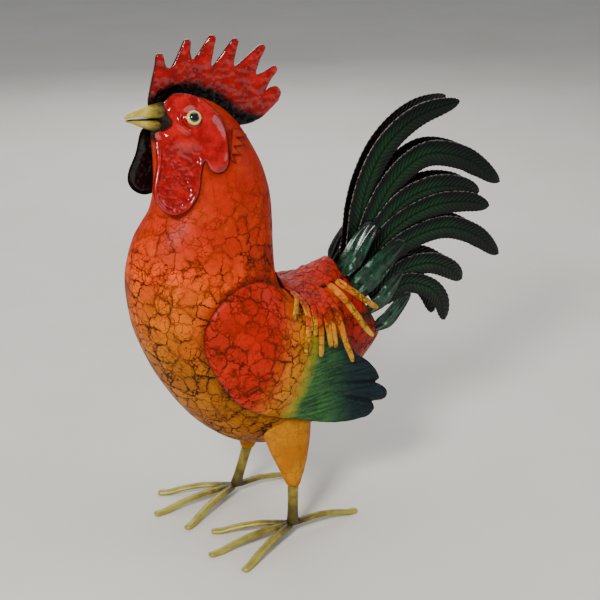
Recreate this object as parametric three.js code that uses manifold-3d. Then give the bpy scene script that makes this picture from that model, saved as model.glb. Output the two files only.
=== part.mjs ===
// A standing rooster made of painted sheet metal.
// Millimetres, +Z up. The beak points to -X and the bird's left side is towards -Y.
// Side-view points are [x, z]; everything on the left is mirrored to the right.
import * as THREE from 'three';
import Module from 'manifold-3d';

const wasm = await Module();
wasm.setup();

// ---------------------------------------------------------------- driving dimensions

const GAP = 0.3;                 // clearance kept between touching pieces

// The hollow body, from the crown down the neck and round to the tail end. Each section runs
// from a point on the back to a point on the breast or belly, and half is half its width.
const bodySections = [
  { back: [-96, 631], breast: [-124, 629], half: 13 },
  { back: [-65, 617], breast: [-147, 612], half: 32 },
  { back: [-38, 594], breast: [-152, 588], half: 40 },
  { back: [-19, 566], breast: [-150, 556], half: 45 },
  { back: [0, 530], breast: [-150, 520], half: 52 },
  { back: [10, 490], breast: [-157, 480], half: 60 },
  { back: [13, 448], breast: [-180, 446], half: 68 },
  { back: [13, 408], breast: [-192, 404], half: 77 },
  { back: [16, 374], breast: [-192, 356], half: 85 },
  { back: [26, 355], breast: [-180, 303], half: 90 },
  { back: [44, 350], breast: [-146, 231], half: 92 },
  { back: [62, 353], breast: [-98, 168], half: 90 },
  { back: [80, 361], breast: [-30, 124], half: 84 },
  { back: [92, 367], breast: [50, 124], half: 72 },
  { back: [100, 370], breast: [117, 179], half: 56 },
  { back: [106, 371], breast: [180, 242], half: 43 },
  { back: [119, 360], breast: [180, 256], half: 33 },
];
const CROWN = [-110, 632];
const TAIL_END = [157, 310];
const BODY_RINGS = 24;
const BODY_SIDES = 22;

// The comb: a pressed plate standing along the head, with seven round-ended fingers.
const COMB_EDGE = 1.8;           // half its flat thickness
const COMB_PUFF = 3;             // how far its pressed faces swell beyond that
const FINGER_RADIUS = 5.4;
const FINGER_FLANK = 12;         // how far below its round tip a finger has flared
const FINGER_FLARE = 1.5;
const combFingers = [            // tip, and the valley behind it
  { tip: [-137, 686], valley: [-121, 668] },
  { tip: [-98, 700], valley: [-91, 675] },
  { tip: [-63, 702], valley: [-66, 663] },
  { tip: [-31, 695], valley: [-34, 660] },
  { tip: [8, 683], valley: [-4, 647] },
  { tip: [26, 653], valley: [10, 624] },
];
const combHeel = [[18, 628], [27, 627], [32, 618], [28, 608]];
const combFront = [[-143, 617], [-155, 622], [-151, 644]];
const combRear = [[22, 603], [2, 588], [-18, 582], [-38, 584]];
const combInsideHead = [[-60, 600], [-90, 615], [-125, 612]];

// The pressed face plates, each with its ear lobe and its hanging wattle.
const FACE_THICKNESS = 2.4;
const FACE_LIFT = 4;             // outer face of the plate above the head
const FACE_LEAST = 18;           // least distance of the plate from the middle
const WATTLE_TOP = { z: 588, reach: 27 };
const WATTLE_END = { z: 492, reach: 52 };
const faceEdge = [
  [-141, 627], [-128, 637], [-108, 636], [-88, 627], [-72, 611], [-66, 592], [-66, 566],
  [-71, 547], [-82, 538], [-92, 545], [-99, 553], [-105, 540], [-108, 522], [-114, 506],
  [-128, 493], [-145, 490], [-160, 498], [-169, 512], [-169, 529], [-161, 552], [-158, 575],
  [-155, 590], [-143, 594], [-135, 603], [-139, 616],
];

const EYE = { x: -109, z: 609, ring: 9.5, pupil: 6.2 };
const EYE_SEAT = 1.8;              // back of the eye above the face plate
const EYE_DOME = 3;              // how thick its ring is

// Beak sections, from the head to the tip: low and high edge and half width.
const upperBeak = [
  { x: -136, low: 605, high: 626, half: 18 },
  { x: -152, low: 606, high: 623, half: 14.5 },
  { x: -166, low: 609, high: 619, half: 10 },
  { x: -178, low: 609.5, high: 615, half: 6 },
  { x: -186, low: 608, high: 611.5, half: 2.2 },
];
const lowerBeak = [
  { x: -134, low: 586, high: 604, half: 20 },
  { x: -150, low: 588.5, high: 605, half: 14.5 },
  { x: -164, low: 594.5, high: 606, half: 9.5 },
  { x: -176, low: 600.5, high: 607, half: 5 },
  { x: -184, low: 603.8, high: 606.5, half: 2.2 },
];

// Four pointed tabs of the neck sheet, standing off behind each face plate.
const TAB_LIFT = 3.4;
const TAB_THICKNESS = 1.6;
const napeTabs = [               // where each tab starts, and its point
  { start: [-42, 586], point: [-27, 573] },
  { start: [-51, 577], point: [-37, 565] },
  { start: [-57, 567], point: [-46, 554] },
  { start: [-61, 558], point: [-56, 545] },
];

// Wings: a domed shoulder that runs back into a fluted fan with three round ends.
const WING_CELL = 22;            // size of the facets
const WING_CLEAR = 1;            // between the body and the wing over it
const WING_LEAST = 3.5;          // least distance of the wing's face from the body
const WING_RIM = 5;              // how far the rim stands off the body
const WING_DOME = { x: -45, z: 290, alongX: 78, alongZ: 100, rise: 15 };
const WING_FAN_REACH = 80;       // outer face of the fan, from the middle
const WING_FAN_TOP = 290;        // the fan begins below this height
const WING_ROOT_DEPTH = 34;
const WING_FAN_DEPTH = 3.5;
const wingShoulder = [
  [8, 366], [-31, 389], [-60, 393], [-86, 384], [-108, 367], [-121, 346], [-125, 322], [-119, 294],
  [-104, 263], [-82, 232], [-52, 208], [-20, 192], [20, 176], [60, 164], [98, 158], [120, 158],
];
const wingEnds = [               // round ends of the fan, from below
  { from: [120, 158], tip: [138, 166], to: [134, 179] },
  { from: [134, 179], tip: [160, 188], to: [134, 210] },
  { from: [134, 210], tip: [144, 222], to: [112, 256] },
];

// The saddle cape: a sheet over the back with round strips hanging from its edge. It lifts off
// the back at the neck. Each section is [x, half width, height off the back].
const CAPE_THICKNESS = 2.4;
const capeSections = [
  [17, 30, 8], [30, 36, 4], [50, 38, 2.5], [70, 39, 3], [90, 39, 4], [107, 34, 6],
];
const STRIP_WIDTH = 7.5;
const STRIP_HEIGHT = 4;
const STRIP_CLEAR = 2.5;         // between a strip and the wing under it
const STRIP_SHOULDER = 0.12;     // how far down its run a strip clears the wing's edge
const STRIP_END_REACH = 50;      // least distance of a strip's end from the middle
const capeStrips = [             // where along the cape's edge each strip leaves it, and its end
  { root: 22, end: [1, 338] },
  { root: 29, end: [29, 313] },
  { root: 35, end: [15, 285] },
  { root: 43, end: [36, 305] },
  { root: 49, end: [45, 272] },
  { root: 55, end: [63, 281] },
  { root: 62, end: [72, 278] },
  { root: 69, end: [100, 250] },
  { root: 84, end: [141, 275] },
  { root: 97, end: [157, 308] },
];

// The tail: two fans of long curved feathers, one each side, and leaves over their roots.
const FEATHER_THICKNESS = 1.3;
const FEATHER_CUP = 0.9;         // how far a feather's edges bend in
const FEATHER_FIRST = 7.5;       // the top feather's distance from the middle
const FEATHER_STEP = 2.6;        // each feather below lies that much further out
const tailFeathers = [           // end is how far a feather's free end lies from the middle
  { half: 18, end: 17, spine: [[134, 352], [148, 420], [163, 480], [192, 530], [240, 565], [303, 580]] },
  { half: 19, end: 17, spine: [[140, 346], [164, 411], [203, 476], [256, 508], [320, 494], [379, 453]] },
  { half: 18, end: 14, spine: [[146, 340], [176, 400], [214, 442], [262, 458], [306, 455], [346, 442]] },
  { half: 17, end: 18, spine: [[150, 334], [180, 388], [220, 418], [272, 433], [320, 431], [362, 419]] },
  { half: 17, end: 17, spine: [[156, 326], [182, 361], [225, 388], [285, 398], [340, 378], [384, 341]] },
  { half: 16, end: 16, spine: [[162, 312], [184, 326], [220, 346], [262, 348], [298, 332], [321, 312]] },
  { half: 15, end: 16, spine: [[168, 298], [188, 311], [220, 325], [258, 313], [283, 288], [294, 253]] },
];
const COVERT_THICKNESS = 2;
const COVERT_CUP = 2;
const COVERT_SPREAD = 2.2;       // the covert is fully out by that part of its length, inverted
const tailCoverts = [            // tilt is how much nearer the middle the upper edge lies
  { half: 14, root: 20, out: 27, tilt: 8, spine: [[116, 357], [137, 393], [163, 428]] },
  { half: 19, root: 22, out: 41, tilt: 3, spine: [[121, 322], [160, 363], [202, 399]] },
  { half: 11, root: 22, out: 47, tilt: 0, spine: [[146, 290], [176, 329], [198, 356]] },
  { half: 11, root: 27, out: 44, tilt: 2, spine: [[162, 266], [187, 293], [214, 320]] },
];

// Legs: flattened thigh cones, round shanks and feet of bent bars.
const thighRings = [
  { z: 188, x: 9, y: 45, halfX: 42, halfY: 22 },
  { z: 160, x: 12, y: 50, halfX: 38, halfY: 21 },
  { z: 128, x: 13, y: 58, halfX: 30, halfY: 18 },
  { z: 98, x: 14, y: 64, halfX: 19, halfY: 13.5 },
  { z: 76, x: 14, y: 67, halfX: 10, halfY: 10 },
];
const SHANK_RADIUS = 8.5;
const KNEE = { y: 67, z: 73.5 };
const ANKLE = { y: 69, z: 16.8 };
const stance = {                 // the right foot stands a little further forward
  left: { side: -1, kneeX: 14, ankleX: 12 },
  right: { side: 1, kneeX: 8, ankleX: -12 },
};
const TOE_HALF_WIDTH = 5;
const TOE_HEIGHT = 5.5;
const TOE_ARCH = [[0, 11], [0.12, 11], [0.4, 11.5], [0.7, 6], [0.88, 0], [1, 0]];
const toeReach = { right: [-105, 50], middle: [-134, -7], left: [-109, -65], back: [108, 5] };

const paints = {
  neck: { color: '#c2401c', roughness: 0.45, metalness: 0.15 },
  enamel: { color: '#b0101a', roughness: 0.15, metalness: 0.1 },
  horn: { color: '#b79a4a', roughness: 0.3, metalness: 0.2 },
  cream: { color: '#e8dfa4', roughness: 0.3, metalness: 0 },
  black: { color: '#0a0a0a', roughness: 0.08, metalness: 0 },
  wing: { color: '#8f2017', roughness: 0.45, metalness: 0.15 },
  cape: { color: '#b8361c', roughness: 0.5, metalness: 0.15 },
  feather: { color: '#14301f', roughness: 0.4, metalness: 0.3 },
  covert: { color: '#1c4a35', roughness: 0.2, metalness: 0.35 },
  thigh: { color: '#cf8a2b', roughness: 0.45, metalness: 0.15 },
  leg: { color: '#7a7434', roughness: 0.4, metalness: 0.3 },
};

// ---------------------------------------------------------------- geometry helpers

// A closed mesh through rings of points, each end drawn in to a point.
function loft(rings, firstPoint, lastPoint) {
  const sides = rings[0].length;
  const corners = [...rings.flat(), firstPoint, lastPoint];
  const first = corners.length - 2;
  const last = corners.length - 1;
  const faces = [];
  for (let ring = 0; ring < rings.length - 1; ring += 1) {
    for (let side = 0; side < sides; side += 1) {
      const a = ring * sides + side;
      const b = ring * sides + (side + 1) % sides;
      faces.push(a, b, b + sides, a, b + sides, a + sides);
    }
  }
  for (let side = 0; side < sides; side += 1) {
    const next = (side + 1) % sides;
    const end = (rings.length - 1) * sides;
    faces.push(first, next, side, last, end + side, end + next);
  }
  return facingOut(meshOf(corners, faces));
}

function meshOf(corners, faces) {
  const geometry = new THREE.BufferGeometry();
  const positions = corners.flatMap((p) => p.toArray());
  geometry.setAttribute('position', new THREE.Float32BufferAttribute(positions, 3));
  geometry.setIndex(faces);
  return geometry;
}

function volumeOf(geometry) {
  const at = geometry.getAttribute('position');
  const index = geometry.getIndex();
  const [a, b, c] = [new THREE.Vector3(), new THREE.Vector3(), new THREE.Vector3()];
  let sum = 0;
  for (let i = 0; i < index.count; i += 3) {
    a.fromBufferAttribute(at, index.getX(i));
    b.fromBufferAttribute(at, index.getX(i + 1));
    c.fromBufferAttribute(at, index.getX(i + 2));
    sum += a.dot(b.cross(c)) / 6;
  }
  return sum;
}

function facingOut(geometry) {
  if (volumeOf(geometry) < 0) {
    geometry.setIndex(Array.from(geometry.getIndex().array).reverse());
  }
  return geometry;
}

function mirrored(geometry) {
  const copy = geometry.clone().scale(1, -1, 1);
  copy.setIndex(Array.from(copy.getIndex().array).reverse());
  return copy;
}

function solidOf(geometry) {
  const vertProperties = new Float32Array(geometry.getAttribute('position').array);
  const triVerts = new Uint32Array(geometry.getIndex().array);
  return new wasm.Manifold(new wasm.Mesh({ numProp: 3, vertProperties, triVerts }));
}

function geometryOf(solid) {
  const mesh = solid.getMesh();
  const geometry = new THREE.BufferGeometry();
  geometry.setAttribute('position', new THREE.BufferAttribute(new Float32Array(mesh.vertProperties), 3));
  geometry.setIndex(Array.from(mesh.triVerts));
  return geometry;
}

// Points along a smooth curve through side-view points.
function smooth(points, count) {
  const curve = new THREE.SplineCurve(points.map(([x, z]) => new THREE.Vector2(x, z)));
  return curve.getPoints(count).map((p) => [p.x, p.y]);
}

// A plate with a side-view outline. Each level is a distance y from the middle and how far the
// outline is drawn in there; flat faces close the first and last level.
function plate(outline, levels) {
  const flat = outline.map(([x, z]) => new THREE.Vector2(x, z));
  if (THREE.ShapeUtils.isClockWise(flat)) {
    flat.reverse();
  }
  const count = flat.length;
  const inward = flat.map((_, i) => {
    const edge = flat[(i + 1) % count].clone().sub(flat[(i + count - 1) % count]);
    return new THREE.Vector2(-edge.y, edge.x).normalize();
  });
  const corners = levels.flatMap(({ y, inset }) => flat.map((p, i) => {
    const q = p.clone().addScaledVector(inward[i], inset);
    return new THREE.Vector3(q.x, y, q.y);
  }));
  const faces = [];
  const last = (levels.length - 1) * count;
  for (const [a, b, c] of THREE.ShapeUtils.triangulateShape(flat, [])) {
    faces.push(a, b, c, last + a, last + c, last + b);
  }
  for (let level = 0; level < last; level += count) {
    for (let i = 0; i < count; i += 1) {
      const j = (i + 1) % count;
      faces.push(level + i, level + count + i, level + j);
      faces.push(level + j, level + count + i, level + count + j);
    }
  }
  return facingOut(meshOf(corners, faces));
}

function prism(outline, near, far) {
  return plate(outline, [{ y: near, inset: 0 }, { y: far, inset: 0 }]);
}

// A closed sheet between two grids of points, which match each other point for point.
function between(upper, lower) {
  const across = upper[0].length;
  const corners = [...upper.flat(), ...lower.flat()];
  const layer = upper.length * across;
  const faces = [];
  const quad = (a, b, c, d) => faces.push(a, b, c, a, c, d);
  const rim = (a, b) => quad(a, layer + a, layer + b, b);
  const lastRow = layer - across;
  for (let row = 0; row < layer - across; row += across) {
    for (let i = row; i < row + across - 1; i += 1) {
      quad(i, i + across, i + across + 1, i + 1);
      quad(layer + i, layer + i + 1, layer + i + across + 1, layer + i + across);
    }
    rim(row, row + across);
    rim(row + 2 * across - 1, row + across - 1);
  }
  for (let i = 0; i < across - 1; i += 1) {
    rim(i + 1, i);
    rim(lastRow + i, lastRow + i + 1);
  }
  return facingOut(meshOf(corners, faces));
}

// A sheet bent over the bird's left side: outer(x, z) is how far its outer face lies from the
// middle, and inner(x, z) its inner face, cut to a side-view outline.
function bentSheet(outline, outer, inner, cell) {
  const steps = (values) => {
    const low = Math.min(...values) - 1;
    const span = Math.max(...values) + 1 - low;
    const count = Math.max(2, Math.round(span / cell));
    return Array.from({ length: count + 1 }, (_, i) => low + span * i / count);
  };
  const gridX = steps(outline.map((p) => p[0]));
  const gridZ = steps(outline.map((p) => p[1]));
  const face = (reach) => gridX.map((x) => gridZ.map((z) => new THREE.Vector3(x, -reach(x, z), z)));
  return solidOf(between(face(outer), face(inner))).intersect(solidOf(prism(outline, -200, 0)));
}

// ---------------------------------------------------------------- body

// grow makes the same form that much larger all round, for cutting the pieces on it.
function bodyGeometry(grow) {
  const back = new THREE.CatmullRomCurve3(
    bodySections.map((s) => new THREE.Vector3(s.back[0], s.half, s.back[1])));
  const breast = new THREE.CatmullRomCurve3(
    bodySections.map((s) => new THREE.Vector3(s.breast[0], s.half, s.breast[1])));
  const rings = [];
  for (let i = 0; i <= BODY_RINGS; i += 1) {
    const top = back.getPoint(i / BODY_RINGS);
    const low = breast.getPoint(i / BODY_RINGS);
    const half = (top.y + low.y) / 2 + grow;
    const middle = top.clone().add(low).multiplyScalar(0.5).setY(0);
    const reach = top.clone().sub(low).multiplyScalar(0.5).setY(0);
    reach.setLength(reach.length() + grow);
    rings.push(ellipse(middle, reach, new THREE.Vector3(0, half, 0), BODY_SIDES));
  }
  const crown = new THREE.Vector3(CROWN[0], 0, CROWN[1] + grow);
  const tailEnd = new THREE.Vector3(TAIL_END[0] + grow, 0, TAIL_END[1] + grow);
  return loft(rings, crown, tailEnd);
}

function ellipse(middle, reach, across, sides) {
  return Array.from({ length: sides }, (_, i) => {
    const turn = 2 * Math.PI * i / sides;
    return middle.clone().addScaledVector(reach, Math.cos(turn)).addScaledVector(across, Math.sin(turn));
  });
}

const body = bodyGeometry(0);
const bodyCutter = solidOf(bodyGeometry(GAP));
const bodyMesh = new THREE.Mesh(body, new THREE.MeshBasicMaterial({ side: THREE.DoubleSide }));
const probe = new THREE.Raycaster();

// How far the body's side lies from the middle at a side-view point, or 0 beside the body.
function bodySide(x, z) {
  probe.set(new THREE.Vector3(x, -300, z), new THREE.Vector3(0, 1, 0));
  const hits = probe.intersectObject(bodyMesh);
  return hits.length > 0 ? -hits[0].point.y : 0;
}

// The height of the back at a point seen from above.
function backHeight(x, y) {
  probe.set(new THREE.Vector3(x, y, 400), new THREE.Vector3(0, 0, -1));
  return probe.intersectObject(bodyMesh)[0].point.z;
}

// ---------------------------------------------------------------- head

function combOutline() {
  const points = [...combFront];
  let valley = combFront[combFront.length - 1];
  for (const finger of combFingers) {
    const tip = new THREE.Vector2(...finger.tip);
    const root = new THREE.Vector2(...valley).add(new THREE.Vector2(...finger.valley)).multiplyScalar(0.5);
    const along = tip.clone().sub(root).normalize();
    const across = new THREE.Vector2(-along.y, along.x);
    const middle = tip.clone().addScaledVector(along, -FINGER_RADIUS);
    const flank = Math.min(FINGER_FLANK, tip.distanceTo(root) * 0.45);
    const place = (forward, aside) => {
      const p = middle.clone().addScaledVector(along, forward).addScaledVector(across, aside);
      points.push([p.x, p.y]);
    };
    place(-flank, FINGER_RADIUS * FINGER_FLARE);
    for (const turn of [80, 27, -27, -80]) {
      const angle = THREE.MathUtils.degToRad(turn);
      place(FINGER_RADIUS * Math.cos(angle), FINGER_RADIUS * Math.sin(angle));
    }
    place(-flank, -FINGER_RADIUS * FINGER_FLARE);
    points.push(finger.valley);
    valley = finger.valley;
  }
  points.push(...combHeel);
  const top = smooth(points, Math.round(points.length * 1.4));
  return [...top, ...combRear, ...combInsideHead];
}

function comb() {
  const swell = [
    { y: COMB_EDGE + COMB_PUFF, inset: 3.2 },
    { y: COMB_EDGE, inset: 0 },
  ];
  const levels = [...swell.map(({ y, inset }) => ({ y: -y, inset })), ...swell.toReversed()];
  return geometryOf(solidOf(plate(combOutline(), levels)).subtract(bodyCutter).subtract(beakCutter));
}

// The face plate lies on the head above, and below it hangs clear as the wattle.
function faceReach(x, z) {
  const hang = THREE.MathUtils.clamp((WATTLE_TOP.z - z) / (WATTLE_TOP.z - WATTLE_END.z), 0, 1);
  const wattle = THREE.MathUtils.lerp(WATTLE_TOP.reach, WATTLE_END.reach, hang);
  return Math.max(bodySide(x, z) + FACE_LIFT, hang > 0 ? wattle : 0, FACE_LEAST);
}

function facePlate() {
  const outline = smooth([...faceEdge, faceEdge[0]], 38).slice(0, -1);
  const sheet = bentSheet(outline, faceReach, (x, z) => faceReach(x, z) - FACE_THICKNESS, 16);
  return geometryOf(sheet.subtract(bodyCutter).subtract(beakCutter));
}

// A low dome square to the face plate, from back to top above it.
function eyeDome(radius, back, top) {
  const step = 6;
  const reachAt = (dx, dz) => faceReach(EYE.x + dx, EYE.z + dz);
  const slope = (dx, dz) => (reachAt(dx, dz) - reachAt(-dx, -dz)) / (2 * step);
  const out = new THREE.Vector3(-slope(step, 0), -1, -slope(0, step)).normalize();
  const up = new THREE.Vector3(0, -slope(0, step), 1).normalize();
  const along = out.clone().cross(up).normalize();
  const seat = new THREE.Vector3(EYE.x, -faceReach(EYE.x, EYE.z), EYE.z);
  const ring = (r, height) => {
    const middle = seat.clone().addScaledVector(out, height);
    return ellipse(middle, along.clone().multiplyScalar(r), up.clone().multiplyScalar(r), 14);
  };
  const rings = [ring(radius, back), ring(radius, back + (top - back) * 0.4), ring(radius * 0.65, top)];
  return loft(rings, middleOf(rings[0]), middleOf(rings[2]));
}

function beakSolid(sections, grow) {
  const rings = sections.map((s) => {
    const middle = new THREE.Vector3(s.x, 0, (s.low + s.high) / 2);
    const tall = new THREE.Vector3(0, 0, (s.high - s.low) / 2 + grow);
    return ellipse(middle, tall, new THREE.Vector3(0, s.half + grow, 0), 10);
  });
  const root = middleOf(rings[0]).setX(sections[0].x + 2);
  const point = middleOf(rings.at(-1)).setX(sections.at(-1).x - 2);
  return solidOf(loft(rings, root, point));
}

const beakCutter = beakSolid(upperBeak, GAP);

function tabStrip() {
  const outline = [[-56, 590]];
  for (const tab of napeTabs) {
    outline.push(tab.start, tab.point);
  }
  outline.push([-65, 552]);
  const reach = (x, z) => Math.max(bodySide(x, z), 8) + TAB_LIFT;
  const sheet = bentSheet(outline, reach, (x, z) => reach(x, z) - TAB_THICKNESS, 20);
  return geometryOf(sheet.subtract(bodyCutter));
}

// ---------------------------------------------------------------- wings and saddle

// The body's greatest side reach close round a point, so that a flat facet clears its curve.
function sideNear(x, z) {
  const steps = [-WING_CELL / 2, 0, WING_CELL / 2];
  return Math.max(...steps.flatMap((dx) => steps.map((dz) => bodySide(x + dx, z + dz))));
}

function wingReach(x, z) {
  const d = WING_DOME;
  const off = ((x - d.x) / d.alongX) ** 2 + ((z - d.z) / d.alongZ) ** 2;
  const shoulder = bodySide(x, z) + WING_RIM + d.rise * Math.max(0, 1 - off);
  const fan = WING_FAN_REACH * THREE.MathUtils.smoothstep(WING_FAN_TOP - z, 0, 30);
  return Math.max(shoulder, sideNear(x, z) + WING_LEAST, fan * THREE.MathUtils.smoothstep(x, -40, 20));
}

// The shoulder is filled down to the body; the fan is a sheet.
function wingInner(x, z) {
  const back = THREE.MathUtils.smoothstep(x, -30, 30);
  const depth = THREE.MathUtils.lerp(WING_ROOT_DEPTH, WING_FAN_DEPTH, back);
  return Math.max(sideNear(x, z) + WING_CLEAR, wingReach(x, z) - depth);
}

// Points round a half ellipse from one side of a lobe over its tip to the other.
function roundEnd({ from, tip, to }, count) {
  const middle = from.map((value, i) => (value + to[i]) / 2);
  return Array.from({ length: count }, (_, step) => {
    const turn = Math.PI * (step + 1) / count;
    return middle.map((value, i) => (
      value + (from[i] - value) * Math.cos(turn) + (tip[i] - value) * Math.sin(turn)));
  });
}

function wing() {
  const outline = smooth(wingShoulder, 26);
  for (const end of wingEnds) {
    outline.push(...roundEnd(end, 5));
  }
  return geometryOf(bentSheet(outline, wingReach, wingInner, WING_CELL));
}

function capeAt(x) {
  const next = Math.max(1, capeSections.findIndex((section) => section[0] >= x));
  const [before, after] = [capeSections[next - 1], capeSections[next]];
  const t = (x - before[0]) / (after[0] - before[0]);
  const [half, lift] = [1, 2].map((i) => THREE.MathUtils.lerp(before[i], after[i], t));
  return { half, lift };
}

// A half-round strip that leaves the cape's edge and lies down over the side and the wing.
function strip({ root, end }) {
  const { half, lift } = capeAt(root);
  const inside = half - STRIP_WIDTH / 2;
  const seat = backHeight(root, inside) + lift;
  const down = new THREE.Vector2(end[0] - root, end[1] - seat);
  const stations = Math.max(3, Math.round(down.length() / 24));
  down.normalize();
  const section = [[-1, 0.3], [-0.55, 1], [0.55, 1], [1, 0.3]];
  const rings = [section.map(([across, up]) => new THREE.Vector3(
    root + across * STRIP_WIDTH * 0.45, -inside, seat + up * CAPE_THICKNESS * 0.9))];
  for (let i = 1; i <= stations; i += 1) {
    const t = THREE.MathUtils.lerp(STRIP_SHOULDER, 1, (i - 1) / (stations - 1));
    const width = STRIP_WIDTH * (i === stations ? 0.35 : 0.5);
    rings.push(section.map(([across, up]) => {
      const x = THREE.MathUtils.lerp(root, end[0], t) - down.y * across * width;
      const z = THREE.MathUtils.lerp(seat, end[1], t) + down.x * across * width;
      const under = Math.max(wingReach(x, z), wingReach(x, z - STRIP_WIDTH));
      const reach = Math.max(under + STRIP_CLEAR, THREE.MathUtils.lerp(half, STRIP_END_REACH, t));
      return new THREE.Vector3(x, -(reach + up * STRIP_HEIGHT), z);
    }));
  }
  return solidOf(loft(rings, middleOf(rings[0]), middleOf(rings.at(-1))));
}

function middleOf(ring) {
  return ring.reduce((sum, p) => sum.add(p), new THREE.Vector3()).divideScalar(ring.length);
}

function saddleCape() {
  const columns = [-1, -0.7, -0.25, 0.25, 0.7, 1];
  const face = (above) => capeSections.map(([x, half, lift]) => columns.map((c) => new THREE.Vector3(
    x, c * half, backHeight(x, c * half) + lift + above)));
  let cape = solidOf(between(face(CAPE_THICKNESS), face(0)));
  for (const entry of capeStrips) {
    const left = strip(entry);
    cape = cape.add(left).add(solidOf(mirrored(geometryOf(left))));
  }
  return geometryOf(cape);
}

// ---------------------------------------------------------------- tail

// A long thin leaf along a side-view spine, root to tip. half is half its greatest width, and
// outAt(t) is how far the spine lies from the middle.
function leaf({ spine, half, outAt, tilt, thickness, cup, blunt, stations }) {
  const curve = new THREE.SplineCurve(spine.map(([x, z]) => new THREE.Vector2(x, z)));
  const rings = [];
  for (let i = 0; i <= stations; i += 1) {
    const t = i / stations;
    const p = curve.getPoint(t);
    const along = curve.getTangent(t);
    const swell = Math.min(1, 0.45 + 2.2 * t) * Math.sqrt(Math.max(0.03, 1 - t ** blunt));
    const width = half * swell;
    const out = outAt(t);
    const side = (across, up) => new THREE.Vector3(
      p.x - along.y * across * width, -(out + up - tilt * across - cup * across ** 2),
      p.y + along.x * across * width);
    const inner = [-1, 0, 1].map((across) => side(across, 0));
    const outer = [1, 0, -1].map((across) => side(across, thickness));
    rings.push([...inner, ...outer]);
  }
  const spineAt = (ring) => ring[1].clone().lerp(ring[4], 0.5);
  return loft(rings, spineAt(rings[0]), spineAt(rings[stations]));
}

function tailFeather({ spine, half, end }, order) {
  const root = FEATHER_FIRST + order * FEATHER_STEP;
  const outAt = (t) => THREE.MathUtils.lerp(root, end, t ** 4);
  return geometryOf(solidOf(leaf({
    spine, half, outAt, stations: 8, tilt: 0, thickness: FEATHER_THICKNESS,
    cup: FEATHER_CUP, blunt: 7,
  })).subtract(bodyCutter));
}

// A covert leaves the rump at its root and soon stands out clear of it.
function tailCovert({ spine, half, root, out, tilt }) {
  const outAt = (t) => THREE.MathUtils.lerp(out, root, Math.max(0, 1 - t * COVERT_SPREAD) ** 2);
  return geometryOf(solidOf(leaf({
    spine, half, outAt, tilt, stations: 5, thickness: COVERT_THICKNESS, cup: COVERT_CUP, blunt: 2.4,
  })).subtract(bodyCutter));
}

// ---------------------------------------------------------------- legs

function thigh({ side, kneeX }) {
  const lean = kneeX - thighRings.at(-1).x;
  const rings = thighRings.map((r, i) => ellipse(
    new THREE.Vector3(r.x + lean * i / (thighRings.length - 1), side * r.y, r.z),
    new THREE.Vector3(r.halfX, 0, 0), new THREE.Vector3(0, r.halfY, 0), 14));
  const foot = new THREE.Vector3(kneeX, side * KNEE.y, KNEE.z);
  return geometryOf(solidOf(loft(rings, middleOf(rings[0]), foot)).subtract(bodyCutter));
}

function shank({ side, kneeX, ankleX }) {
  const top = new THREE.Vector3(kneeX, side * KNEE.y, KNEE.z - GAP);
  const low = new THREE.Vector3(ankleX, side * ANKLE.y, ANKLE.z);
  const forward = new THREE.Vector3(SHANK_RADIUS, 0, 0);
  const sideways = new THREE.Vector3(0, SHANK_RADIUS, 0);
  const ring = (p) => ellipse(p, forward, sideways, 14);
  return loft([ring(low), ring(top)], low, top);
}

// A bar with a flat underside and a round back along points on its underside.
function bar(points, grow) {
  const rings = points.map((p, i) => {
    const before = points[Math.max(0, i - 1)];
    const after = points[Math.min(points.length - 1, i + 1)];
    const across = new THREE.Vector3(before.y - after.y, after.x - before.x, 0);
    across.setLength(TOE_HALF_WIDTH + grow);
    const low = p.z - grow;
    const high = TOE_HEIGHT + 2 * grow;
    const at = (side, up) => p.clone().addScaledVector(across, side).setZ(low + up * high);
    return [at(-1, 0), at(1, 0), at(0.9, 0.6), at(0, 1), at(-0.9, 0.6)];
  });
  return loft(rings, middleOf(rings[0]), middleOf(rings.at(-1)));
}

function toePath(reach) {
  return TOE_ARCH.map(([t, z]) => new THREE.Vector3(t * reach[0], t * reach[1], z));
}

const longToePath = [...toePath(toeReach.middle).slice(1).reverse(), ...toePath(toeReach.back).slice(1)];

function sideToe(reach) {
  return geometryOf(solidOf(bar(toePath(reach), 0)).subtract(solidOf(bar(longToePath, GAP))));
}

// ---------------------------------------------------------------- assembly

const rooster = new THREE.Group();

function add(name, geometry, paint) {
  const mesh = new THREE.Mesh(geometry, new THREE.MeshStandardMaterial(paints[paint]));
  mesh.name = name;
  rooster.add(mesh);
}

function addPair(name, geometry, paint) {
  add(`${name}_left`, geometry, paint);
  add(`${name}_right`, mirrored(geometry), paint);
}

add('body', body, 'neck');
add('comb', comb(), 'enamel');
const eyeRing = eyeDome(EYE.ring, EYE_SEAT, EYE_SEAT + EYE_DOME);
const pupil = eyeDome(EYE.pupil, EYE_SEAT + EYE_DOME + GAP, EYE_SEAT + EYE_DOME + 2);
addPair('face', facePlate(), 'enamel');
addPair('eye_ring', eyeRing, 'cream');
addPair('pupil', pupil, 'black');
add('beak_upper', geometryOf(beakSolid(upperBeak, 0).subtract(bodyCutter)), 'horn');
add('beak_lower', geometryOf(beakSolid(lowerBeak, 0).subtract(bodyCutter)), 'horn');
addPair('nape_tabs', tabStrip(), 'neck');
addPair('wing', wing(), 'wing');
add('saddle_cape', saddleCape(), 'cape');
tailFeathers.forEach((entry, order) => {
  addPair(`tail_feather_${order + 1}`, tailFeather(entry, order), 'feather');
});
tailCoverts.forEach((entry, order) => {
  addPair(`tail_covert_${order + 1}`, tailCovert(entry), 'covert');
});
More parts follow.
